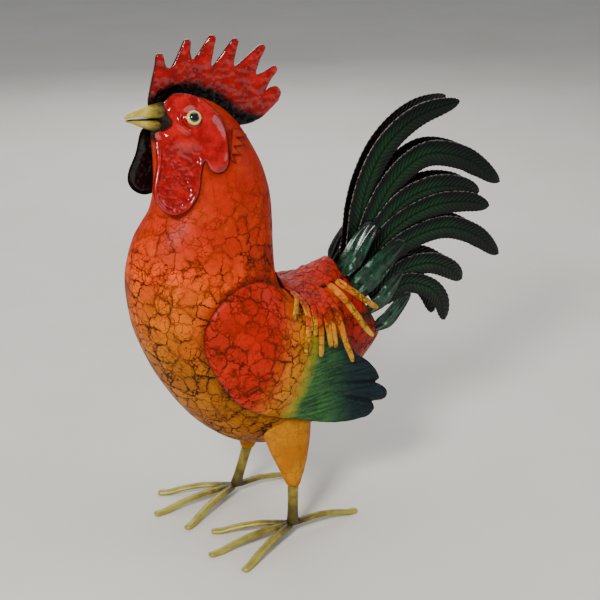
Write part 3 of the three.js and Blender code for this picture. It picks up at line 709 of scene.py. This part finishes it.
def leg_paint():
    paint = Paint("leg_olive")
    tone = paint.mottle(0.012, 5.0).ramp(0.35, 0.7).between("74641a", "a8983a")
    far = paint.read("hub") + paint.drift(0.008, 14.0)
    tone = (far.ramp(6.0, 50.0).left() * 0.85).between(tone, "241606")
    tone = far.ramp(40.0, 95.0, 0.0, 0.6).between(tone, "b4ac4c")
    worn = paint.mottle(0.0025, 6.0, 0.7).ramp(0.6, 0.72, 0.0, 0.5)
    paint.set(colour=worn.between(tone, "33260c"), rough=paint.uneven(0.006, 0.3, 0.5), metal=0.3)
    paint.raise_by((paint.mottle(0.006), 0.0005), (paint.mottle(0.0015), 0.00012))
    return paint.material


CRACKLE = body_paint()
ENAMEL = enamel_paint()
INSIDE = inside_paint()
HORN = horn_paint()
CREAM = eye_paint("eye_ring_cream", "dccb78", "c4a74c", 0.12)
BLACK = eye_paint("pupil_black", "020202", "050506", 0.04)
WING = wing_paint()
RED_CAPE = cape_paint()
FEATHER = feather_paint()
COVERT = covert_paint()
AMBER = thigh_paint()
OLIVE = leg_paint()


def fix_on(piece, slot, nodes, *paints):
    """Painted, put in place of its solids and fixed to the bird."""
    for paint in paints:
        piece.data.materials.append(paint)
    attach(piece, "root")
    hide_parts(*nodes)


def finish_piece(piece, slot, node, *paints):
    to_place(piece)
    fix_on(piece, slot, [node], *paints)


def finish_pair(piece, slot, base, *paints):
    """The left piece and its twin on the right."""
    to_place(piece)
    twin = other_side(piece, f"{base}_painted_right", DRAWING_SHIFT[1] * MM)
    piece.name = piece.data.name = f"{base}_painted_left"
    fix_on(piece, slot, [f"{base}_left"], *paints)
    fix_on(twin, slot, [f"{base}_right"], *paints)


def finish_sheet(piece, thickness, slot, base, *paints, rounds=1):
    """A bent left sheet is turned outwards, thickened and rounded, and gets its twin."""
    face_left(piece)
    thicken(piece, thickness, *paints)
    if rounds:
        rounded(piece, rounds)
    finish_pair(piece, slot, base)


# ---------- camera

EYE_POINT = (-0.88077, -1.58201, 1.03)      # where the viewer stands
VIEW_DOWN = 21.5
VIEW_TURN = 28.0
bpy.ops.object.camera_add(location=EYE_POINT, rotation=(
    np.radians(90 - VIEW_DOWN), 0, np.radians(-VIEW_TURN)))
camera = named("viewer")
camera.data.lens = 83.1
camera.data.sensor_width = 36
bpy.context.scene.camera = camera

# ---------- body

BODY_SIDES = 64


def make_body():
    back = through([(b[0], b[1], h) for b, _, h in BODY], 44)
    front = through([(f[0], f[1], h) for _, f, h in BODY], 44)
    rings = []
    for top, low in zip(back, front):
        x, z, half = (top + low) / 2
        reach = (top - low) / 2
        rings.append(ellipse_ring((x, 0, z), (reach[0], 0, reach[1]), (0, half, 0), BODY_SIDES))
    rings.insert(0, smaller(rings[0], 0.4, (0, 0, 2)))
    end = np.array([TAIL_END[0], 0, TAIL_END[1]])
    for pull in (0.75, 0.4):
        rings.append(end + (rings[-1] - end) * pull)
    body = drawn_out("body_painted", rings, rounds=2)
    co = points_of(body)
    out = np.array([v.normal for v in body.data.vertices])
    wave = 0.9 * waves(*co.T, 55, 3.0) + 0.35 * waves(*co.T, 16, 9.0)
    set_points(body, co + out * (wave - 0.4)[:, None])
    return body


body = make_body()
bare = BVHTree.FromObject(body, bpy.context.evaluated_depsgraph_get())


def side_at(x, z):
    """How far the body's left side stands from the middle; 0 beside the body."""
    hit = bare.ray_cast(Vector((x, -300, z)), Vector((0, 1, 0)))[0]
    return -hit.y if hit and hit.y < 0 else 0.0


def back_at(x, y):
    hit = bare.ray_cast(Vector((x, y, 420)), Vector((0, 0, -1)))[0]
    return hit.z


# ---------- head


def comb_outline():
    outline = list(COMB_FRONT)
    valley = COMB_FRONT[-1]
    for tip, after in COMB_FINGERS:
        tip, root = np.array(tip, float), (np.array(valley) + np.array(after)) / 2
        along = (tip - root) / np.linalg.norm(tip - root)
        across = np.array([-along[1], along[0]])
        middle = tip - along * FINGER_RADIUS
        flank = min(FINGER_FLANK, np.linalg.norm(tip - root) * 0.45)
        flare = across * FINGER_RADIUS * FINGER_FLARE
        outline.append(middle - along * flank + flare)
        for turn in np.radians((80, 40, 0, -40, -80)):
            outline.append(middle + FINGER_RADIUS * (along * np.cos(turn) + across * np.sin(turn)))
        outline.append(middle - along * flank - flare)
        outline.append(after)
        valley = after
    outline += COMB_HEEL
    top = through(outline, len(outline) * 4)
    return np.vstack([top, through([outline[-1], *COMB_BASE], 40)[1:]])


def make_comb():
    comb = cut_sheet("comb_painted", comb_outline(), 1.7)
    x, z, rim = side_view(comb)
    base = through([(-152, 620), (-125, 634), (-96, 634), (-62, 618), (-34, 594), (-12, 586),
                    (1, 589)], 40)
    below = (z < np.interp(x, base[:, 0], base[:, 1])) & (x < 0)
    far = np.where(below, 0, off_line(base, x, z)) + 14 * ease(x, -14, 10)
    mark(comb, "shade", 1 - ease(far, 4, 23))
    blows = hammered(x, z, 8.0, 2.3)
    # painted shade in the hammer marks and towards the comb's base
    mark(comb, "dent_shade", np.maximum(blows, 1.2 * (1 - ease(far, 6, 58))))
    puff = COMB_PUFF * (1 - np.exp(-rim / 3.2))
    puff += 1.1 * waves(x, 0 * x, z, 13, 5) - 1.6 * blows * ease(rim, 1.5, 4)
    puff -= 1.3 * bump(far - 5, 3)
    mark(comb, "puff", puff)
    apply_modifier(comb, "SOLIDIFY", thickness=2 * COMB_EDGE, offset=0)
    co = points_of(comb)
    co[:, 1] = np.sign(co[:, 1]) * (COMB_EDGE + marks_of(comb, "puff"))
    set_points(comb, co)
    outward(comb)
    rounded(comb)
    finish_piece(comb, "enamel", "comb", ENAMEL)


def face_reach_at(x, z):
    hang_down = min(max((WATTLE_TOP[0] - z) / (WATTLE_TOP[0] - WATTLE_END[0]), 0), 1)
    wattle = WATTLE_TOP[1] + (WATTLE_END[1] - WATTLE_TOP[1]) * hang_down
    return max(side_at(x, z) + 4, wattle if hang_down > 0 else 0, 18)


face_lay = Lay(face_reach_at, (-180, 480), (-50, 650), 3, 6)


def make_face():
    face = cut_sheet("face", through(FACE_EDGE, 150)[:-1], 1.45)
    x, z, rim = side_view(face)
    wattle = ease(z, 582, 560) * ease(x, -100, -108)
    from_eye = np.hypot(x - EYE[0], z - EYE[1])
    brow = through([(-96, 629), (-114, 630), (-127, 620), (-128, 606), (-119, 595)], 40)
    from_brow = off_line(brow, x, z)
    relief = -2.2 * np.exp(-rim / 1.8) * (1 - 0.5 * wattle)
    relief += 2.6 * bump(from_brow, 4.0) - 2.4 * bump(from_eye - 12.5, 2.6)
    relief += 2.6 * bump(np.hypot(x + 82, z - 551), 10) + 2.0 * bump(np.hypot(x + 84, z - 584), 20)
    relief -= 0.9 * bump(x + 101, 5.0) * ease(z, 552, 566) * ease(z, 600, 580)
    relief += wattle * (2.4 * bump(rim - 3.8, 2.3) - 1.8 * ease(rim, 6, 10))
    blows = hammered(x, z, 6.0, 7.1) * ease(rim, 3, 7)
    row = bump(x + 137 + (z - 530) * 0.05, 12)
    relief += (0.2 + wattle * (0.8 + 1.5 * row)) * -blows
    relief += 0.5 * waves(x, 0 * x, z, 20, 1.0)
    # painted shade in the wattle's dimples
    mark(face, "dent_shade", blows * wattle)
    mark(face, "shade", 0.85 * bump(rim, 1.0) + 0.5 * (from_eye < 11) * ease(from_eye, 8, 10))
    hang(face, lambda px, pz: face_lay(px, pz) + relief)
    finish_sheet(face, SHEET, "enamel", "face", ENAMEL, INSIDE)


def make_eyes():
    here = np.array([EYE[0], -float(face_lay(*EYE)), EYE[1]])
    step = 6
    lean_x, lean_z = (float(face_lay(*(EYE + way)) - face_lay(*(EYE - way))) / (2 * step)
                      for way in step * np.eye(2))
    out = np.array([-lean_x, -1, -lean_z])
    out /= np.linalg.norm(out)
    up = np.array([0, -lean_z, 1]) / np.hypot(lean_z, 1)
    along = np.cross(out, up)

    def turned(name, profile):
        return drawn_out(name, [ellipse_ring(here + out * height, along * radius, up * radius, 32)
                                for radius, height in profile])

    ring = turned("eye_ring", [(9.0, -1), (9.5, 0.4), (9.4, 1.8), (8.8, 3.2), (7.8, 4.1), (6.8, 4.3),
                               (6.2, 3.9), (5.9, 3.0), (3.0, 2.8)])
    finish_pair(ring, "cream", "eye_ring", CREAM)
    pupil = turned("pupil", [(5.6, 3.1), (6.0, 3.6), (6.1, 4.5), (5.6, 5.5), (4.4, 6.2),
                             (2.4, 6.7), (0.7, 6.85)])
    finish_pair(pupil, "black", "pupil", BLACK)


def make_beak(node, sections, crown, keel):
    """crown and keel squeeze the upper and the lower half of each section."""
    rings = []
    for x, low, high, half in through(sections, 22):
        up, across = turns(32)
        up = np.sign(up) * np.abs(up) ** np.where(up > 0, crown, keel)
        rings.append(np.column_stack([np.full(32, x), half * across,
                                      (low + high) / 2 + (high - low) / 2 * up]))
    rings.append(smaller(rings[-1], 0.5, (-1.4, 0, 0)))
    beak = drawn_out(f"{node}_painted", rings)
    co = points_of(beak)
    xs, lows, highs, _ = zip(*sections[::-1])
    lower = keel > crown
    above = co[:, 2] - np.interp(co[:, 0], xs, highs if lower else lows)
    # painted shade in the mouth gap, along the lip of each half of the beak
    mark(beak, "edge", ease(above, -1.6, -0.5) if lower else ease(-above, -1.0, -0.3))
    finish_piece(beak, "horn", node, HORN)


def make_nape_tabs():
    tabs = cut_sheet("nape_tabs", NAPE_TABS, 1.3)
    x, z, rim = side_view(tabs)
    lift = 4.0 + 3.6 * ease(x + 0.9 * (z - 565), -52, -30)
    # painted shadow along the edges of the tabs
    mark(tabs, "edge", 0.9 * bump(rim, 1.4))
    lay = Lay(lambda x, z: max(side_at(x, z), 8), (-75, 535), (-15, 600), 3, 2)
    hang(tabs, lambda x, z: lay(x, z) + lift)
    finish_sheet(tabs, SHEET, "neck", "nape_tabs", CRACKLE)


# ---------- wings and saddle

WING_DOME = (-45, 290, 78, 100, 14)         # middle x and z, half lengths, rise
FAN_REACH = 79
FAN_ROOT = 235                              # height the flutes spread from, at x = 0
FAN_GROOVES = [                             # angle, depth
    (-22.7, 5.5), (-10.6, 5.5), (-16.6, 0.8), (-28, 0.8), (-5, 1.6), (1, 1.4), (7, 1.2)]


def side_near(x, z):
    return max(side_at(x + a, z + b) for a in (-9, 0, 9) for b in (-9, 0, 9))


body_lay = Lay(side_near, (-150, 140), (190, 420), 6, 5)


def wing_reach(x, z):
    dx, dz, wide, tall, rise = WING_DOME
    off = ((x - dx) / wide) ** 2 + ((z - dz) / tall) ** 2
    shoulder = body_lay(x, z) + 5.5 + rise * np.clip(1 - off, 0, 1)
    fan = FAN_REACH * ease(290 - z, 0, 30) * ease(x, -40, 20)
    return np.maximum(shoulder, fan)


wing_lay = Lay(lambda x, z: float(wing_reach(x, z)), (-150, 140), (190, 420), 6, 3)


def fan_angle(x, z):
    return np.degrees(np.arctan2(z - FAN_ROOT, x))


def wing_relief(x, z, rim):
    """The turned-in edge of the shoulder and the flutes of the fan."""
    fan = ease(x, 30, 75)
    relief = (1 - fan) * (1.5 - 4.5 * np.exp(-rim / 2.2) - 2.5 * np.exp(-rim / 9))
    relief -= fan * 1.6 * np.exp(-rim / 4)
    for valley, depth in FAN_GROOVES:
        relief -= depth * bump(fan_angle(x, z) - valley, 2.1) * ease(x, 30, 110)
    return relief


def wing_outline():
    outline = list(through(WING_SHOULDER, 150))
    for start, tip, end in WING_ENDS:
        outline += round_end(start, tip, end, 16)
    return np.array(outline)


def paint_body_shade():
    """Painted shade on the body round the wings and the face plates, where they meet it."""
    co = points_of(body)
    beside = ease(np.abs(co[:, 1]), 12, 30)
    wing = nearest_on(wing_outline(), co[:, [0, 2]])[1]
    face = nearest_on(np.array(through(FACE_EDGE, 100)), co[:, [0, 2]])[1]
    mark(body, "edge", beside * (0.5 * bump(wing, 6) + 0.5 * bump(face, 6)))


def round_end(start, tip, end, count):
    """A half ellipse from one side of a lobe over its tip to the other."""
    start, tip, end = (np.array(p, float) for p in (start, tip, end))
    middle = (start + end) / 2
    angles = np.pi * np.arange(1, count + 1) / count
    return [middle + (start - middle) * np.cos(a) + (tip - middle) * np.sin(a) for a in angles]


def make_wings():
    wing = cut_sheet("wing", wing_outline(), 2.5)
    x, z, rim = side_view(wing)
    relief = wing_relief(x, z, rim) + 0.8 * waves(x, 0 * x, z, 34, 2)
    relief -= 0.35 * hammered(x, z, 15, 4.4) * ease(x, 40, 10)
    # painted shade in the two deep grooves of the fan
    deep = sum(bump(fan_angle(x, z) - valley, 1.1) for valley, depth in FAN_GROOVES if depth > 2)
    mark(wing, "dent_shade", deep * ease(x, 70, 115))
    hang(wing, lambda px, pz: wing_lay(px, pz) + relief)
    finish_sheet(wing, SHEET, "wing", "wing", WING, INSIDE)


def cape_at(x):
    xs, halves, lifts = zip(*CAPE)
    return np.interp(x, xs, halves), np.interp(x, xs, lifts)


def make_cape():
    cape, u, v = blade("saddle_cape_painted", 60, 56)
    x = 17 + 90 * u
    half, lift = cape_at(x)
    ragged = 1 + 0.05 * waves(x, 0 * x, np.sign(v) * 30, 9, 3)
    x = x + (v ** 2) * 3 * (u - 0.3) + (u - 0.5) * 3 * waves(v * 20, 0 * v, 0 * v, 7, 6)
    y = v * half * ragged
    top = np.array([back_at(a, b) for a, b in zip(np.clip(x, 15, 118), np.clip(y, -38, 38))])
    rough = 1.3 * waves(x, y, 0 * x, 11, 1) + 0.6 * waves(x, y, 0 * x, 4, 8)
    mark(cape, "along", 0.08 + 0.12 * ease(np.abs(v), 0.6, 1))
    # painted shade in the slots along the cape's sides, left out where the strips bridge them
    bridge = sum(bump(x - root, 2.9) for root, _ in STRIPS)
    mark(cape, "edge", ease(np.abs(v), 0.84, 0.95) * np.clip(1 - 1.3 * bridge, 0, 1))
    set_points(cape, np.column_stack([x, y, top + lift + 1.2 + rough]))
    outward(cape)
    if sum(f.normal.z for f in cape.data.polygons) < 0:
        cape.data.flip_normals()
    thicken(cape, 1.8, RED_CAPE)
    rounded(cape)
    strips = [make_strip(*entry) for entry in STRIPS]
    strips += [other_side(strip, "far_strip", 0) for strip in strips]
    take(cape)
    for strip in strips:
        strip.select_set(True)
    bpy.ops.object.join()
    finish_piece(cape, "cape", "saddle_cape")


def make_strip(root, end):
    """A half-round strip from the cape's edge down over the side and the wing."""
    half, lift = cape_at(root)
    inside = half - 3
    seat = back_at(root, -inside) + lift + 0.8
    start, run = np.array([root, seat]), np.array(end) - (root, seat)
    length = np.linalg.norm(run)
    across_run = np.array([-run[1], run[0]]) / length
    stations = 16
    rings = []
    for i in range(stations + 1):
        t = i / stations
        x, z = start + run * t
        if i == 0:
            reach = inside
        else:
            edge = max(float(wing_lay(x, z)), float(wing_lay(x, z - 7)))
            reach = max(edge + 2.6, half + (50 - half) * t)
            reach = inside + (reach - inside) * float(ease(t, -0.05, 0.16))
        blunt = 0.6 if i == stations else 1
        width, tall = 5.2 * (1 - 0.25 * t) * blunt, 3.8 * (1 - 0.2 * t) * blunt
        across, up = turns(12)
        up = np.maximum(up, -0.35) * tall * 0.75 + tall * 0.3
        ring = (x, z) + np.outer(across * width, across_run)
        rings.append(np.column_stack([ring[:, 0], -(reach + up), ring[:, 1]]))
    strip = drawn_out("strip", rings)
    co = points_of(strip)
    t = np.clip((co[:, ::2] - start) @ run / length ** 2, 0, 1)
    strip.data.materials.append(RED_CAPE)
    early = 0.3 * (1 - ease(root, 24, 37)) + 0.35 * ease(root, 60, 90)
    mark(strip, "along", 0.1 + 0.9 * t ** 1.5 + early)
    wave = 0.45 * waves(*co.T, 7, root)
    set_points(strip, co + np.column_stack([0.4 * wave, wave, 0 * wave]))
    return strip


# ---------- tail


def leaf_width(half, t, blunt, least):
    return half * np.minimum(1, 0.45 + 2.2 * t) * np.sqrt(np.clip(1 - t ** blunt, least, 1))


def set_leaf(leaf, place, run, across, out):
    x = place[:, 0] - run[:, 1] * across
    z = place[:, 1] + run[:, 0] * across
    set_points(leaf, np.column_stack([x, -out, z]))


def leaf_frame(spine, u):
    """Place, run and arc length along a side-view spine at each u."""
    path = through(spine, 240)
    steps = np.linalg.norm(np.diff(path, axis=0), axis=1)
    run = np.gradient(path, axis=0)
    run /= np.linalg.norm(run, axis=1)[:, None]
    rows = np.column_stack([path, run, np.append(0, np.cumsum(steps))])
    at = np.linspace(0, 1, len(path))
    read = np.column_stack([np.interp(u, at, row) for row in rows.T])
    return read[:, :2], read[:, 2:4], read[:, 4]


BARB_PITCH = 7.6


def make_feather(order, half, end, spine):
    name = f"tail_feather_{order + 1}"
    feather, u, v = blade(name, 190, 26)
    t = 1 - (1 - u) ** 1.25
    place, run, arc = leaf_frame(spine, t)
    w = v * leaf_width(half, t, 7.2, 0.012)
    notch = 0.35 * np.sin(2 * np.pi * (arc + 1.15 * half) / BARB_PITCH) * (np.abs(v) > 0.93)
    w = w + np.sign(v) * notch * np.minimum(1, (1 - t) * 12)
    root_out = 7.5 + order * 2.6
    out = root_out + (end - root_out) * t ** 4
    phase = 2 * np.pi * (arc - 1.15 * np.abs(w)) / BARB_PITCH
    barb = 0.5 + 0.5 * np.sin(phase + 0.8 * np.sin(phase))
    fade = ease(np.abs(w), 0.8, 2.6) * ease(1 - np.abs(v), 0.02, 0.1)
    relief = 1.0 * barb * fade + 1.2 * bump(w, 1.3) + 0.9 * bump(1 - np.abs(v), 0.07)
    out = out + 0.8 + relief - 1.4 * v ** 2
    set_leaf(feather, place, run, w, out)
    mark(feather, "along", t)
    mark(feather, "across", v)
    mark(feather, "barb", barb * fade)
    # where the painted highlight runs along the upper edge
    mark(feather, "edge", bump(v - 1, 0.05) * ease(t, 0.02, 0.1))
    finish_sheet(feather, 1.1, "feather", name, FEATHER, INSIDE, rounds=0)


def make_covert(order, half, root, reach, tilt, spine):
    name = f"tail_covert_{order + 1}"
    covert, u, v = blade(name, 90, 40)
    t = 1 - (1 - u) ** 1.3
    place, run, arc = leaf_frame(spine, t)
    w = v * leaf_width(half, t, 2.6, 0.006)
    crease = np.cos(v * np.pi * 2.2 + 0.7 * np.sin(arc / 14 + order) + 1.2)
    relief = 0.7 * crease * ease(1 - np.abs(v), 0, 0.25) * ease(1 - t, 0, 0.15)
    relief += 0.9 * bump(v, 0.07) * (1 - t)
    out = reach + (root - reach) * np.maximum(0, 1 - 2.2 * t) ** 2
    out = out - tilt * v - 2.2 * v ** 2 + 1.6 + relief
    set_leaf(covert, place, run, w, out)
    mark(covert, "along", t)
    mark(covert, "crease", 0.5 + 0.5 * crease)
    mark(covert, "edge", 0.85 * bump(1 - np.abs(v), 0.08))
    finish_sheet(covert, 1.4, "covert", name, COVERT, INSIDE)


# ---------- legs


def make_leg(name, side, knee_x, ankle_x):
    rings = []
    for i, (z, x, y, half_x, half_y) in enumerate(through(THIGH, 18)):
        x += (knee_x - THIGH[-1][1]) * i / 18
        rings.append(ellipse_ring((x, side * y, z), (half_x, 0, 0), (0, half_y, 0), 32))
    rings.append(smaller(rings[-1], 0.86, (0, 0, -2.2)))
    thigh = drawn_out(f"thigh_painted_{name}", rings)
    co = points_of(thigh)
    co[:, 1] += 0.8 * side * waves(*co.T, 22, 4)
    set_points(thigh, co)
    finish_piece(thigh, "thigh", f"thigh_{name}", AMBER)

    top = np.array([knee_x, side * KNEE[0], KNEE[1] + 3])
    low = np.array([ankle_x, side * ANKLE[0], ANKLE[1] - 4])
    shank = drawn_out(f"shank_painted_{name}", [
        ellipse_ring(top + (low - top) * t, (radius, 0, 0), (0, radius, 0), 20)
        for t, radius in ((0, 8.4), (0.1, 7.9), (0.35, 7.4), (0.7, 7.6), (0.86, 8.3), (0.95, 9.2),
                          (1, 9.0))])
    mark(shank, "hub", points_of(shank)[:, 2] * 0.8 - 6)
    finish_piece(shank, "leg", f"shank_{name}", OLIVE)

    hub = np.array([ankle_x, side * ANKLE[0], 0])
    make_toe("long", name, np.vstack([toe_line("middle")[::-1], toe_line("back")[1:]]), hub)
    inner, outer = ("right", "left") if name == "left" else ("left", "right")
    make_toe("inner", name, toe_line(inner)[1:], hub)
    make_toe("outer", name, toe_line(outer)[1:], hub)


def toe_line(reach):
    at = np.linspace(0, 1, 23)
    height = np.interp(at, *through(TOE_ARCH, 60).T)
    return np.column_stack([np.outer(at, TOES[reach]), np.maximum(height, 0)])


def make_toe(label, name, line, hub):
    """A half-round bar along a line on its underside."""
    line = line + hub
    runs = np.gradient(line, axis=0)
    rings = []
    for i, (p, run) in enumerate(zip(line, runs)):
        across = np.array([-run[1], run[0], 0]) / np.hypot(run[0], run[1])
        tip = 0.9 if i in (0, len(line) - 1) else 1
        wide, tall = turns(16)
        wide = np.sign(wide) * np.abs(wide) ** 0.7 * 6.1 * tip
        tall = tall * np.where(tall > 0, 4.6, 1.8) * tip + 1.9
        rings.append(p + np.outer(wide, across) + np.outer(tall, (0, 0, 1)))
    toe = drawn_out(f"{label}_toe_painted_{name}", rings)
    co = points_of(toe)
    mark(toe, "hub", np.hypot(co[:, 0] - hub[0], co[:, 1] - hub[1]))
    co[:, 2] += 0.35 * waves(*co.T, 9, 2) * (co[:, 2] > 3)
    set_points(toe, co)
    finish_piece(toe, "leg", f"{label}_toe_{name}", OLIVE)


# ---------- assembly

make_comb()
make_face()
make_eyes()
make_beak("beak_upper", BEAK_UPPER, 0.9, 0.45)
make_beak("beak_lower", BEAK_LOWER, 0.45, 0.95)
make_nape_tabs()
make_wings()
make_cape()
for number, entry in enumerate(FEATHERS):
    make_feather(number, *entry)
for number, entry in enumerate(COVERTS):
    make_covert(number, *entry)
for foot, stance in STANCE.items():
    make_leg(foot, *stance)
paint_body_shade()
finish_piece(body, "neck", "body", CRACKLE)

# ---------- studio

bpy.ops.mesh.primitive_plane_add(size=14, location=(0, 0, 0))
floor = named("floor")
pale = Paint("pale_floor")
pale.set(colour=pale.uneven(0.4, 0.0, 1.0).between("e6e2da", "e0dcd3"), rough=0.9)
floor.data.materials.append(pale.material)
for name, place, aim, size, power, tint in (
        ("key", (-1.8, -1.55, 1.95), (-0.05, 0, 0.37), 0.6, 78, (1.0, 0.98, 0.95)),
        ("fill", (2.5, -1.0, 1.5), (0, 0, 0.35), 1.6, 16, (0.95, 0.98, 1.0)),
        ("sky", (0.2, 0.3, 2.8), (0, 0, 0.3), 2.0, 25, (1.0, 1.0, 1.0)),
        ("back", (0.6, 2.2, 1.6), (0, 0, 0.4), 1.8, 24, (1.0, 1.0, 1.0))):
    bpy.ops.object.light_add(type="AREA", location=place)
    lamp = named(name)
    lamp.data.size = size
    lamp.data.energy = power
    lamp.data.color = tint
    lamp.rotation_euler = (Vector(aim) - Vector(place)).to_track_quat("-Z", "Y").to_euler()
world = bpy.data.worlds.new("studio")
bpy.context.scene.world = world
world.use_nodes = True
sky = world.node_tree.nodes["Background"]
sky.inputs["Color"].default_value = (0.86, 0.9, 0.95, 1)
sky.inputs["Strength"].default_value = 0.3
